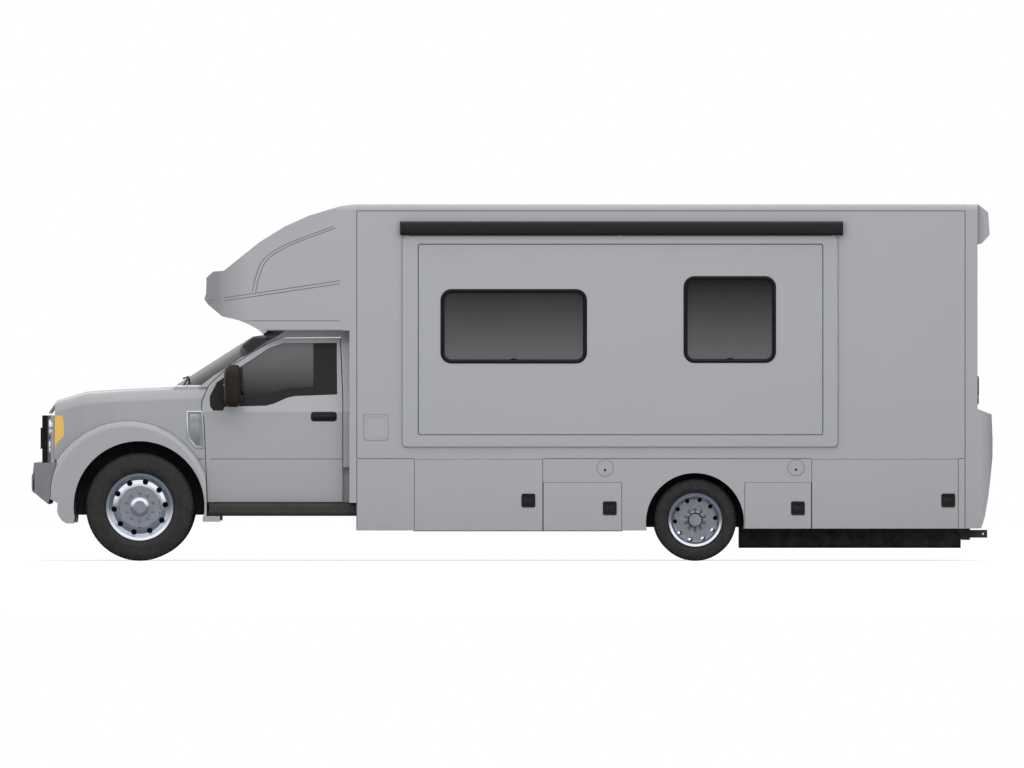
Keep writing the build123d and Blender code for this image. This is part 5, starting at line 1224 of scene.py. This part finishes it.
class MakeDoorFittings(bpy.types.Operator):
    """Mirrors, sails, handles and black glass surrounds of the cab doors"""

    bl_idname = "motorhome.make_door_fittings"
    bl_label = "Cab door fittings"

    pillar = [(-1.928, 1.600), (-1.700, 1.618), (-1.706, 2.120), (-1.932, 2.119)]
    belt = [(-2.795, 1.500), (-2.397, 1.508), (-2.319, 1.528), (-2.185, 1.586), (-2.107, 1.603),
            (-1.920, 1.611), (-1.920, 1.690), (-2.130, 1.682), (-2.230, 1.665), (-2.350, 1.612),
            (-2.420, 1.592), (-2.795, 1.590)]
    sail = [(-2.936, 1.505), (-2.905, 1.462), (-2.812, 1.462), (-2.795, 1.500), (-2.795, 1.788),
            (-2.872, 1.735), (-2.940, 1.600)]
    handle = (-1.957, -1.703, 1.356, 1.450)

    def execute(self, context):
        for word, side in SIDES.items():
            body = "cab_door_" + word
            shell = bmesh.new()
            self.mirror_head(shell, side)
            piece = add_piece(shell, "mirror_" + word, 50, body, "black_trim",
                              "mirror_plastic", "mirror_silver", "amber_lens")
            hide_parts("door_fittings_" + word)
            bm = bmesh.new()
            self.mounts(bm, side)
            add_piece(bm, "door_trim_" + word, 35, body, "black_trim", "black_trim", "gloss_black")
        return {"FINISHED"}

    def leaning(self, z):
        """Half width of the cab's side at a height."""
        return 1.010 if z < 1.450 else 1.010 - 0.125 * (z - 1.450) / 0.790

    def on_side(self, bm, outline, side, low, high, index):
        """Plate that follows the cab's leaning side between two offsets."""
        ring = anticlockwise(outline)
        levels = ((ring, low), (ring, high - 0.002), (shrunk(ring, 0.002), high))
        loops = [[bm.verts.new((x, side * (self.leaning(z) + d), z)) for x, z in points]
                 for points, d in levels]
        bm.faces.new(loops[0][::-1]).material_index = index
        bm.faces.new(loops[-1]).material_index = index
        join_loops(bm, loops, index)

    def mounts(self, bm, side):
        """Sail, pillar cover, belt strip and pull handle."""
        self.on_side(bm, self.sail, side, -0.012, 0.008, 0)
        self.on_side(bm, self.pillar, side, -0.022, -0.004, 1)
        self.on_side(bm, self.belt, side, -0.022, -0.006, 1)
        x0, x1, z0, z1 = self.handle
        plate(bm, rounded(x0, x1, z0, z1, 0.030, 6), side * 1.004, side * 1.0165, 0.006)
        grip = [(x0 + 0.020, side * 1.016, (z0 + z1) / 2), (x0 + 0.045, side * 1.021, (z0 + z1) / 2),
                (x1 - 0.045, side * 1.021, (z0 + z1) / 2), (x1 - 0.020, side * 1.016, (z0 + z1) / 2)]
        swept(bm, grip, 0.020, 10, 0, 0.5)
        for z, root in ((1.570, 0.990), (1.735, 0.965)):
            swept(bm, [(-2.805, side * root, z), (-2.800, side * 1.100, z + 0.004),
                       (-2.775, side * 1.215, z)], 0.014, 10, 0, 1.0)

    def mirror_head(self, bm, side):
        """Rounded shell of the mirror with its two glasses and a turn lamp."""
        x0, x1, z0, z1 = -2.798, -2.609, 1.496, 1.904
        y0, y1 = 1.181, 1.449
        rows = 14
        around = 28
        loops = []
        for i in range(rows + 1):
            t = i / rows
            z = z0 + (z1 - z0) * t
            swell = (1 - abs(2 * t - 1) ** 5) ** 0.45
            cx, cy = (x0 + x1) / 2, (y0 + y1) / 2
            loop = []
            for k in range(around):
                a = 2 * math.pi * k / around
                c, s = math.cos(a), math.sin(a)
                rx = (x1 - x0) / 2 * (1.0 if c < 0 else 0.80)
                px = cx + math.copysign(abs(c) ** 0.55, c) * rx * (0.55 + 0.45 * swell)
                py = cy + math.copysign(abs(s) ** 0.45, s) * (y1 - y0) / 2 * (0.72 + 0.28 * swell)
                loop.append(bm.verts.new((px, side * py, z)))
            loops.append(loop)
        join_loops(bm, loops)
        bm.faces.new(loops[0][::-1])
        bm.faces.new(loops[-1])
        for low, high in ((1.640, 1.880), (1.525, 1.615)):
            ring = rounded(1.215, 1.415, low, high, 0.022, 5)
            rims = [[bm.verts.new((x, side * y, z)) for y, z in points] for points, x in (
                (ring, -2.640), (ring, -2.6155), (shrunk(ring, 0.006), -2.6150),
                (shrunk(ring, 0.006), -2.6200))]
            join_loops(bm, rims)
            bm.faces.new(rims[-1]).material_index = 1
        lamp = rounded(1.230, 1.400, 1.700, 1.722, 0.009, 4)
        front = [[bm.verts.new((x, side * y, z)) for y, z in points] for points, x in (
            (lamp, -2.780), (lamp, -2.7985), (shrunk(lamp, 0.003), -2.8000))]
        join_loops(bm, front, 2)
        bm.faces.new(front[-1]).material_index = 2


# Fittings of the coach

class MakeCoachFittings(bpy.types.Operator):
    """Hatch latches, port rings, cover screws, topper and awning ends, tail lamps and the entry handle"""

    bl_idname = "motorhome.make_coach_fittings"
    bl_label = "Coach fittings"

    latches = (
        ("hatch_left_1", 0.159, 0.588, LEFT), ("hatch_left_2", 0.950, 0.513, LEFT),
        ("hatch_left_3", 2.778, 0.513, LEFT), ("hatch_left_4", 4.238, 0.589, LEFT),
        ("hatch_right_1", 0.190, 0.588, RIGHT), ("hatch_right_2", 3.052, 0.589, RIGHT),
    )
    ports = ((0.904, 0.904), (2.759, 0.908))
    cover = (-1.438, -1.205, 1.176, 1.423)
    topper = (-1.088, 3.216, 3.163, 3.299)
    #  y limits, z limits and slot of the bezel, the red lens and the clear lens
    rear_lamp = ((1.060, 1.190, 1.520, 1.800, 0), (1.072, 1.178, 1.604, 1.788, 1),
                 (1.072, 1.178, 1.532, 1.596, 2))
    #  first x, last x, low z, top z of each hatch leaf
    hatch_openings = {
        "left": ((-0.947, 0.296, 0.296, 0.983), (0.306, 1.064, 0.296, 0.755),
                 (2.264, 2.905, 0.316, 0.755), (2.915, 4.333, 0.316, 0.983)),
        "right": ((0.055, 1.064, 0.296, 0.983), (2.915, 4.333, 0.316, 0.983)),
    }

    def execute(self, context):
        for hatch, x, z, side in self.latches:
            self.latch(hatch, x, z, side)
        self.hatch_seals()
        self.port_rings()
        self.cover_screws()
        self.topper_case()
        self.awning_ends()
        self.tail_lamps()
        self.entry_handle()
        return {"FINISHED"}

    def latch(self, hatch, x, z, side):
        """Black latch frame, pan, paddle and lock over the latch plate of a hatch."""
        bm = bmesh.new()
        outer = rounded_square(x, z, 0.0675, 0.0182)
        pan = rounded_square(x, z, 0.0505, 0.0102)
        ring_plate(bm, outer, pan, side * (COACH_FACE - 0.0005), side * (COACH_FACE + 0.0068), 0.0016)
        plate(bm, rounded_square(x, z, 0.0508, 0.0102), side * (COACH_FACE - 0.0078),
              side * (COACH_FACE - 0.0074))
        plate(bm, rounded(x - 0.0435, x + 0.0435, z - 0.0435, z + 0.0215, 0.0082, 5),
              side * (COACH_FACE - 0.0078), side * (COACH_FACE + 0.0042), 0.002)
        turned(bm, ((0, 0.011), (side * 0.006, 0.011), (side * 0.007, 0.009), (side * 0.007, 0)),
               (x, side * (COACH_FACE - 0.0074), z + 0.036), 20, 1)
        add_piece(bm, hatch + "_latch", 35, hatch, "black_trim", "black_trim", "gloss_black")

    def hatch_seals(self):
        """Black seal in the gap round each hatch."""
        for word, side in SIDES.items():
            bm = bmesh.new()
            for x0, x1, z0, z1 in self.hatch_openings[word]:
                inner = [(x0, z0), (x1, z0), (x1, z1), (x0, z1)]
                edge = shrunk(inner, -0.0075)
                ring_plate(bm, edge, inner, side * (COACH_FACE - 0.012), side * (COACH_FACE - 0.0015))
            add_piece(bm, "hatch_seals_" + word, 30, ROOT, "black_trim", "seal_rubber")

    def port_rings(self):
        """Sealed edge and lock of the service ports on the left skirt."""
        bm = bmesh.new()
        for x, z in self.ports:
            turned(bm, ((0.0, 0.0815), (-0.002, 0.0815), (-0.0025, 0.0785), (0.0, 0.0785)),
                   (x, -COACH_FACE - 0.0002, z), 56, 0)
            turned(bm, ((0.0, 0.012), (-0.004, 0.012), (-0.005, 0.010), (-0.005, 0)),
                   (x, -COACH_FACE - 0.0055, z - 0.020), 20, 1)
        add_piece(bm, "port_rings", 35, ROOT, "body_paint", "slide_seal", "black_trim")

    def cover_screws(self):
        """Screws and sealed edge of the service cover."""
        bm = bmesh.new()
        x0, x1, z0, z1 = self.cover
        edge = rounded(x0 - 0.003, x1 + 0.003, z0 - 0.003, z1 + 0.003, 0.024, 6)
        ring_plate(bm, edge, shrunk(edge, 0.004), -COACH_FACE, -COACH_FACE - 0.003, 0.0, 0)
        for x in (x0 + 0.011, x1 - 0.011):
            for z in (z0 + 0.011, z1 - 0.011):
                turned(bm, ((0.0, 0.0055), (-0.002, 0.005), (-0.003, 0.003), (-0.0022, 0.0015), (-0.0022, 0)),
                       (x, -COACH_FACE - 0.007, z), 16, 1)
        add_piece(bm, "cover_screws", 35, ROOT, "body_paint", "joint_sealer", "dull_steel")

    def topper_case(self):
        """Black case of the topper with its end caps, and the brackets that carry it."""
        x0, x1, z0, z1 = self.topper
        bm = bmesh.new()
        ring = rounded(-1.377, -1.277, z0, z1, 0.030, 6)
        small = shrunk(ring, 0.004)
        levels = ((small, x0), (ring, x0 + 0.004), (ring, x0 + 0.030), (small, x0 + 0.030),
                  (small, x0 + 0.034), (ring, x0 + 0.034), (ring, x1 - 0.034), (small, x1 - 0.034),
                  (small, x1 - 0.030), (ring, x1 - 0.030), (ring, x1 - 0.004), (small, x1))
        loops = [[bm.verts.new((x, y, z)) for y, z in points] for points, x in levels]
        bm.faces.new(loops[0])
        bm.faces.new(loops[-1][::-1])
        join_loops(bm, loops)
        for x in (-1.020, 1.050, 3.120):
            plate(bm, rounded(x - 0.020, x + 0.020, 3.126, 3.200, 0.004, 3), -1.3000, -1.3075, 0.002, 1)
        piece = add_piece(bm, "topper_case", 35, "slide_room", "awning_vinyl", "black_trim", "body_paint")
        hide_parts("slide_topper")

    def awning_ends(self):
        """Arms folded over the awning case, and its end caps."""
        bm = bmesh.new()
        for x in (-1.0, 3.3):
            swept(bm, [(x, 1.276, 3.150), (x, 1.300, 3.165), (x, 1.330, 3.181)], 0.016, 10)
        for x in (-0.985, 3.285):
            ring = rounded(x - 0.016, x + 0.016, 1.55, 3.165, 0.006, 3)
            plate(bm, ring, 1.2703, 1.290, 0.003)
        add_piece(bm, "awning_arms", 35, ROOT, "awning_vinyl", "brushed_alloy")

    def tail_lamps(self):
        """Bezel with a red upper lens and a clear lower one on each side."""
        bm = bmesh.new()
        for side in SIDES.values():
            for y0, y1, z0, z1, index in self.rear_lamp:
                depth = 4.5345 if index == 0 else 4.5392
                ring = rounded(y0, y1, z0, z1, 0.020, 5)
                rims = [[bm.verts.new((x, side * y, z)) for y, z in points] for points, x in (
                    (ring, 4.5232), (ring, depth - 0.003), (shrunk(ring, 0.003), depth))]
                join_loops(bm, rims, index)
                bm.faces.new(rims[-1]).material_index = index
        piece = add_piece(bm, "tail_lamp_lenses", 35, ROOT, "lamp_red",
                          "gloss_black", "red_lens", "clear_lens")
        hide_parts("tail_lamps")

    def entry_handle(self):
        """Lock plate and pull of the entry door."""
        bm = bmesh.new()
        plate(bm, rounded(-0.676, -0.604, 1.288, 1.502, 0.022, 6), 1.2703, 1.2785, 0.003)
        plate(bm, rounded(-0.664, -0.616, 1.360, 1.480, 0.012, 5), 1.2783, 1.2860, 0.004, 1)
        swept(bm, [(-0.640, 1.279, 1.315), (-0.640, 1.297, 1.330), (-0.640, 1.297, 1.462),
                   (-0.640, 1.279, 1.478)], 0.010, 10, 0)
        add_piece(bm, "entry_handle", 35, "entry_door", "black_trim", "black_trim", "gloss_black")


# Cab

class MakeCabFittings(bpy.types.Operator):
    """Wipers and ribs of the running boards"""

    bl_idname = "motorhome.make_cab_fittings"
    bl_label = "Cab fittings"

    def execute(self, context):
        self.wipers()
        self.step_ribs()
        return {"FINISHED"}

    def wipers(self):
        """Arms and blades that lie along the foot of the windscreen."""
        tree = surface_tree("windshield")
        bm = bmesh.new()
        for root, tip in ((-0.62, 0.02), (0.10, 0.74)):
            blade = []
            for k in range(15):
                y = root + (tip - root) * k / 14
                hit = tree.ray_cast(Vector((-3.16 + 0.03 * abs(y), y, 3.0)), Vector((0, 0, -1)))
                if hit[0] is not None:
                    blade.append(hit[0] + hit[1].normalized() * 0.010)
            if len(blade) > 2:
                swept(bm, blade, 0.006, 6, 1)
                swept(bm, [blade[0] + Vector((-0.05, 0, -0.02)), blade[4] + Vector((-0.01, 0, 0.008)),
                           blade[7] + Vector((0, 0, 0.008))], 0.008, 8, 0, 0.6)
        add_piece(bm, "wipers", 40, ROOT, "black_trim", "black_trim", "seal_rubber")

    def step_ribs(self):
        """Raised ribs along the running boards."""
        bm = bmesh.new()
        for side in SIDES.values():
            for y in (0.985, 1.020, 1.055, 1.090, 1.125):
                ring = rounded(-2.90, -1.56, 0.5661, 0.5695, 0.0015, 2)
                plate(bm, ring, side * (y - 0.006), side * (y + 0.006))
        add_piece(bm, "step_ribs", 35, ROOT, "black_trim", "seal_rubber")


# Seats

class MakeSeats(bpy.types.Operator):
    """Padded cushions, backs and head rests of the cab seats, on trimmed plinths"""

    bl_idname = "motorhome.make_seats"
    bl_label = "Cab seats"

    #  centre (x, z), direction (x, z) of its length, half sizes along its length, width and depth
    pads = {
        "cushion": ((-2.190, 1.300), (-1.0, 0.0), (0.284, 0.256, 0.068)),
        "back": ((-1.914, 1.612), (0.2177, 0.9760), (0.236, 0.256, 0.047)),
        "head_rest": ((-1.834, 1.954), (0.2177, 0.9760), (0.070, 0.135, 0.040)),
    }
    middle_y = 0.480
    swell = 0.022
    voxel = 0.0075
    quick_voxel = 0.014
    blow_frames = 20

    def execute(self, context):
        for kind, (centre, along, half) in self.pads.items():
            points, faces = self.inflated(kind, half)
            axis = Vector((along[0], 0, along[1]))
            across = Vector((0, 1, 0))
            up = across.cross(axis)
            for word, side in SIDES.items():
                middle = Vector((centre[0], side * self.middle_y, centre[1]))
                placed = [middle + axis * u + across * v + up * w for u, v, w in points]
                mesh = bpy.data.meshes.new("seat_" + kind + "_" + word)
                mesh.from_pydata(placed, [], faces)
                mesh.shade_smooth()
                self.face_outwards(mesh)
                piece = new_piece(mesh.name, mesh, ROOT, "seat_fabric", "seat_cloth")
                self.piping(kind + "_" + word, placed, faces, middle, axis, across, up, half)
        self.plinths()
        return {"FINISHED"}

    def face_outwards(self, mesh):
        """Turns a closed mesh's faces outwards."""
        bm = bmesh.new()
        bm.from_mesh(mesh)
        bmesh.ops.recalc_face_normals(bm, faces=bm.faces)
        bm.to_mesh(mesh)
        bm.free()

    def crowned_form(self, half):
        """Crowned closed form a little smaller than the pad, in the pad's own axes."""
        bm = bmesh.new()
        bmesh.ops.create_cube(bm, size=2)
        bmesh.ops.subdivide_edges(bm, edges=bm.edges, cuts=7, use_grid_fill=True)
        trimmed = [half[0] - 0.012, half[1] - 0.012, half[2] - 0.012]
        for vert in bm.verts:
            x, y, z = vert.co
            ball = Vector((x * math.sqrt(1 - y * y / 2 - z * z / 2 + y * y * z * z / 3),
                           y * math.sqrt(1 - z * z / 2 - x * x / 2 + z * z * x * x / 3),
                           z * math.sqrt(1 - x * x / 2 - y * y / 2 + x * x * y * y / 3)))
            near = vert.co.lerp(ball, 0.20)
            vert.co = Vector([near[i] * trimmed[i] for i in range(3)])
        mesh = bpy.data.meshes.new("pad_form")
        bm.to_mesh(mesh)
        bm.free()
        return mesh

    def inflated(self, kind, half):
        """Points and faces of the pad, blown out by a short cloth simulation, then channelled."""
        scene = bpy.context.scene
        work = bpy.data.objects.new("pad_work", self.crowned_form(half))
        scene.collection.objects.link(work)
        remesh = work.modifiers.new("Remesh", "REMESH")
        remesh.mode = "VOXEL"
        remesh.voxel_size = self.voxel
        self.bake(work)
        start = [v.co.copy() for v in work.data.vertices]
        cloth = work.modifiers.new("Cloth", "CLOTH")
        cloth.settings.quality = 5
        cloth.settings.mass = 0.4
        cloth.settings.tension_stiffness = 8
        cloth.settings.compression_stiffness = 8
        cloth.settings.shear_stiffness = 5
        cloth.settings.bending_stiffness = 0.5
        cloth.settings.use_pressure = True
        cloth.settings.uniform_pressure_force = 4
        cloth.settings.effector_weights.gravity = 0
        for frame in range(1, self.blow_frames + 1):
            scene.frame_set(frame)
        self.bake(work)
        scene.frame_set(1)
        points = []
        for vert, first in zip(work.data.vertices, start):
            moved = vert.co - first
            if not math.isfinite(moved.length):
                raise RuntimeError(kind + " pad burst in its simulation")
            if moved.length > self.swell:
                moved = moved.normalized() * self.swell
            points.append(list(first + moved))
        extent = [max(abs(p[i]) for p in points) for i in range(3)]
        for point in points:
            for i in range(3):
                point[i] *= (half[i] - 0.001) / extent[i]
            if point[2] < 0:
                point[2] = max(-half[2], point[2] * 1.3)
            self.press(point, kind, half)
        faces = [tuple(p.vertices) for p in work.data.polygons]
        bpy.data.objects.remove(work)
        return points, faces

    def bake(self, work):
        """Puts an object's modified shape in place of its mesh."""
        shape = bpy.data.meshes.new_from_object(
            work.evaluated_get(bpy.context.evaluated_depsgraph_get()))
        work.modifiers.clear()
        work.data = shape

    def press(self, point, kind, half):
        """Stitched channels and bolster seams pressed into the padded side."""
        u, v, w = point
        if w < half[2] * 0.2:
            return
        depth = 0.0
        bolster = half[1] * 0.66
        if kind != "head_rest":
            depth += 0.008 * math.exp(-((abs(v) - bolster) / 0.007) ** 2)
            if abs(v) < bolster:
                for lane in (-0.5, 0.0, 0.5):
                    depth += 0.005 * math.exp(-((v - lane * bolster) / 0.006) ** 2)
                depth += 0.006 * math.exp(-((u + half[0] * 0.45) / 0.007) ** 2)
        edge = min(half[0] - abs(u), half[1] - abs(v))
        depth += 0.003 * math.exp(-((edge - 0.030) / 0.006) ** 2)
        point[2] = w - depth

    def piping(self, name, placed, faces, middle, axis, across, up, half):
        """Sewn cord along the seam between the pad's padded side and its boxing."""
        tree = BVHTree.FromPolygons(placed, faces)
        ring = rounded(-half[0] + 0.030, half[0] - 0.030, -half[1] + 0.030, half[1] - 0.030, 0.030, 5)
        path = []
        for (u0, v0), (u1, v1) in zip(ring, ring[1:] + ring[:1]):
            parts = max(1, int(math.dist((u0, v0), (u1, v1)) / 0.02))
            for k in range(parts):
                u, v = u0 + (u1 - u0) * k / parts, v0 + (v1 - v0) * k / parts
                hit = tree.ray_cast(middle + axis * u + across * v + up * 0.3, -up)
                if hit[0] is not None:
                    path.append(hit[0] + up * 0.0006)
        bm = bmesh.new()
        swept(bm, path + path[:1], 0.0032, 7)
        add_piece(bm, "seat_piping_" + name, 60, ROOT, "seat_fabric", "seat_edge")

    def plinths(self):
        """Seat plinths with their trim, slide rails, back hinges and head rest posts."""
        bm = bmesh.new()
        for side in SIDES.values():
            y = side * self.middle_y
            plate(bm, rounded(-2.410, -1.970, 1.010, 1.2285, 0.030, 5), y - 0.192, y + 0.192, 0.010, 0)
            for offset in (-0.150, 0.150):
                plate(bm, rounded(-2.418, -1.962, 0.9605, 1.010, 0.006, 3), y + offset - 0.020,
                      y + offset + 0.020, 0.003, 1)
                post = y + offset * 0.45
                swept(bm, [(-1.851, post, 1.860), (-1.840, post, 1.910)], 0.006, 10, 1)
            plate(bm, rounded(-2.300, -2.080, 1.120, 1.165, 0.014, 4), y + side * 0.190,
                  y + side * 0.1985, 0.003, 2)
        piece = add_piece(bm, "seat_plinths", 35, ROOT, "seat_fabric",
                          "dash_plastic", "dull_steel", "gloss_black")
        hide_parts("cab_seats")


# Stage

class BuildStudio(bpy.types.Operator):
    """Pale floor, white surround, soft lamps and the long-lens camera"""

    bl_idname = "motorhome.build_studio"
    bl_label = "Studio"

    def execute(self, context):
        studio = context.scene.motorhome_studio
        bm = bmesh.new()
        bmesh.ops.create_grid(bm, x_segments=8, y_segments=8, size=60)
        floor = bpy.data.objects.new("studio_floor", mesh_from(bm, "studio_floor"))
        context.scene.collection.objects.link(floor)
        floor.location = (0, 0, -0.002)
        floor.data.materials.append(self.floor_finish())
        self.build_world(context.scene, studio.fill)
        self.add_lamp("key_lamp", (0.5, -15, 6), (0, -1, 1.5), 14, studio.key * 1150, context)
        self.add_lamp("top_lamp", (0, 0, 12), (0, 0, 0), 14, studio.key * 500, context)
        self.add_lamp("far_lamp", (6, 14, 8), (0, 1, 1.5), 12, studio.key * 600, context)
        data = bpy.data.cameras.new("photo_camera")
        data.sensor_width = 36
        data.lens = studio.lens
        data.clip_start = 50
        data.clip_end = 600
        distance = studio.scale * studio.lens / 36
        camera = bpy.data.objects.new("photo_camera", data)
        context.scene.collection.objects.link(camera)
        camera.location = (0, -COACH_FACE - distance, studio.eye)
        camera.rotation_euler = (math.pi / 2, 0, 0)
        context.scene.camera = camera
        context.scene.view_settings.view_transform = "Standard"
        return {"FINISHED"}

    def floor_finish(self):
        """Matt pale floor, white to the camera and in clear glass, darker where metal mirrors it."""
        material, tree, shader = new_finish("studio_floor")
        rays = tree.nodes.new("ShaderNodeLightPath")
        seen = maths(tree, "MAXIMUM", rays.outputs["Is Camera Ray"], rays.outputs["Is Transmission Ray"])
        part = maths(tree, "MAXIMUM", seen, maths(tree, "MULTIPLY", rays.outputs["Is Glossy Ray"], 0.1))
        tree.links.new(maths(tree, "MULTIPLY", part, 0.74), shader.inputs["Emission Strength"])
        shader.inputs["Emission Color"].default_value = (1, 1, 1, 1)
        tree.links.new(mixed(tree, rays.outputs["Is Glossy Ray"], (0.5, 0.5, 0.5), (0.15, 0.17, 0.21)),
                       shader.inputs["Base Color"])
        shader.inputs["Roughness"].default_value = 1.0
        shader.inputs["Specular IOR Level"].default_value = 0.0
        return material

    def build_world(self, scene, strength):
        """Even white light, a plain white surround, and for mirroring faces a sky that darkens downwards."""
        world = bpy.data.worlds.new("studio_world")
        scene.world = world
        world.use_nodes = True
        tree = world.node_tree
        background = tree.nodes["Background"]
        background.inputs["Color"].default_value = (1, 1, 1, 1)
        rays = tree.nodes.new("ShaderNodeLightPath")
        split = add_node(tree, "ShaderNodeSeparateXYZ")
        tree.links.new(tree.nodes.new("ShaderNodeTexCoord").outputs["Generated"], split.inputs[0])
        sky = mapped(tree, split.outputs["Z"], 0.0, 0.25, 0.26, 1.4)
        mirrored = maths(tree, "MULTIPLY", rays.outputs["Is Glossy Ray"], sky)
        soft = maths(tree, "MULTIPLY", maths(tree, "SUBTRACT", 1.0, rays.outputs["Is Glossy Ray"]), strength)
        seen = maths(tree, "MAXIMUM", rays.outputs["Is Camera Ray"], rays.outputs["Is Transmission Ray"])
        tree.links.new(maths(tree, "MAXIMUM", seen, maths(tree, "ADD", mirrored, soft)),
                       background.inputs["Strength"])

    def add_lamp(self, name, place, target, size, power, context):
        """Square area lamp that faces a target and isn't mirrored."""
        data = bpy.data.lights.new(name, "AREA")
        data.size = size
        data.energy = power
        lamp = bpy.data.objects.new(name, data)
        context.scene.collection.objects.link(lamp)
        lamp.location = place
        lamp.visible_glossy = False
        aim = Vector(target) - Vector(place)
        lamp.rotation_euler = aim.to_track_quat("-Z", "Y").to_euler()


# Panel and registration

settings = {
    "motorhome_finish": MotorhomeFinish, "motorhome_trim": MotorhomeTrim,
    "motorhome_tyres": MotorhomeTyres, "motorhome_studio": MotorhomeStudio,
}


steps = (
    PaintFrame, MakeTyres, MakeWheelFittings, MakeWheelHouses, MakeJoints, MakeHouseWindows, MakeFrontEnd,
    MakeDoorFittings, MakeCoachFittings, MakeCabFittings, MakeSeats, BuildStudio,
)


class MotorhomePanel(bpy.types.Panel):
    """Sizes, colours and building steps of the motorhome"""

    bl_idname = "VIEW3D_PT_motorhome"
    bl_label = "Motorhome"
    bl_space_type = "VIEW_3D"
    bl_region_type = "UI"
    bl_category = "Motorhome"

    def draw(self, context):
        for name, group in settings.items():
            box = self.layout.box()
            for key in group.__annotations__:
                box.prop(getattr(context.scene, name), key)
        for step in steps:
            self.layout.operator(step.bl_idname)


def register():
    for group in settings.values():
        bpy.utils.register_class(group)
    for name, group in settings.items():
        setattr(bpy.types.Scene, name, PointerProperty(type=group))
    for step in steps:
        bpy.utils.register_class(step)
    bpy.utils.register_class(MotorhomePanel)


def unregister():
    bpy.utils.unregister_class(MotorhomePanel)
    for step in reversed(steps):
        bpy.utils.unregister_class(step)
    for name in settings:
        delattr(bpy.types.Scene, name)
    for group in settings.values():
        bpy.utils.unregister_class(group)


def main():
    register()
    for step in steps:
        family, name = step.bl_idname.split(".")
        getattr(getattr(bpy.ops, family), name)()


if __name__ == "__main__":
    main()
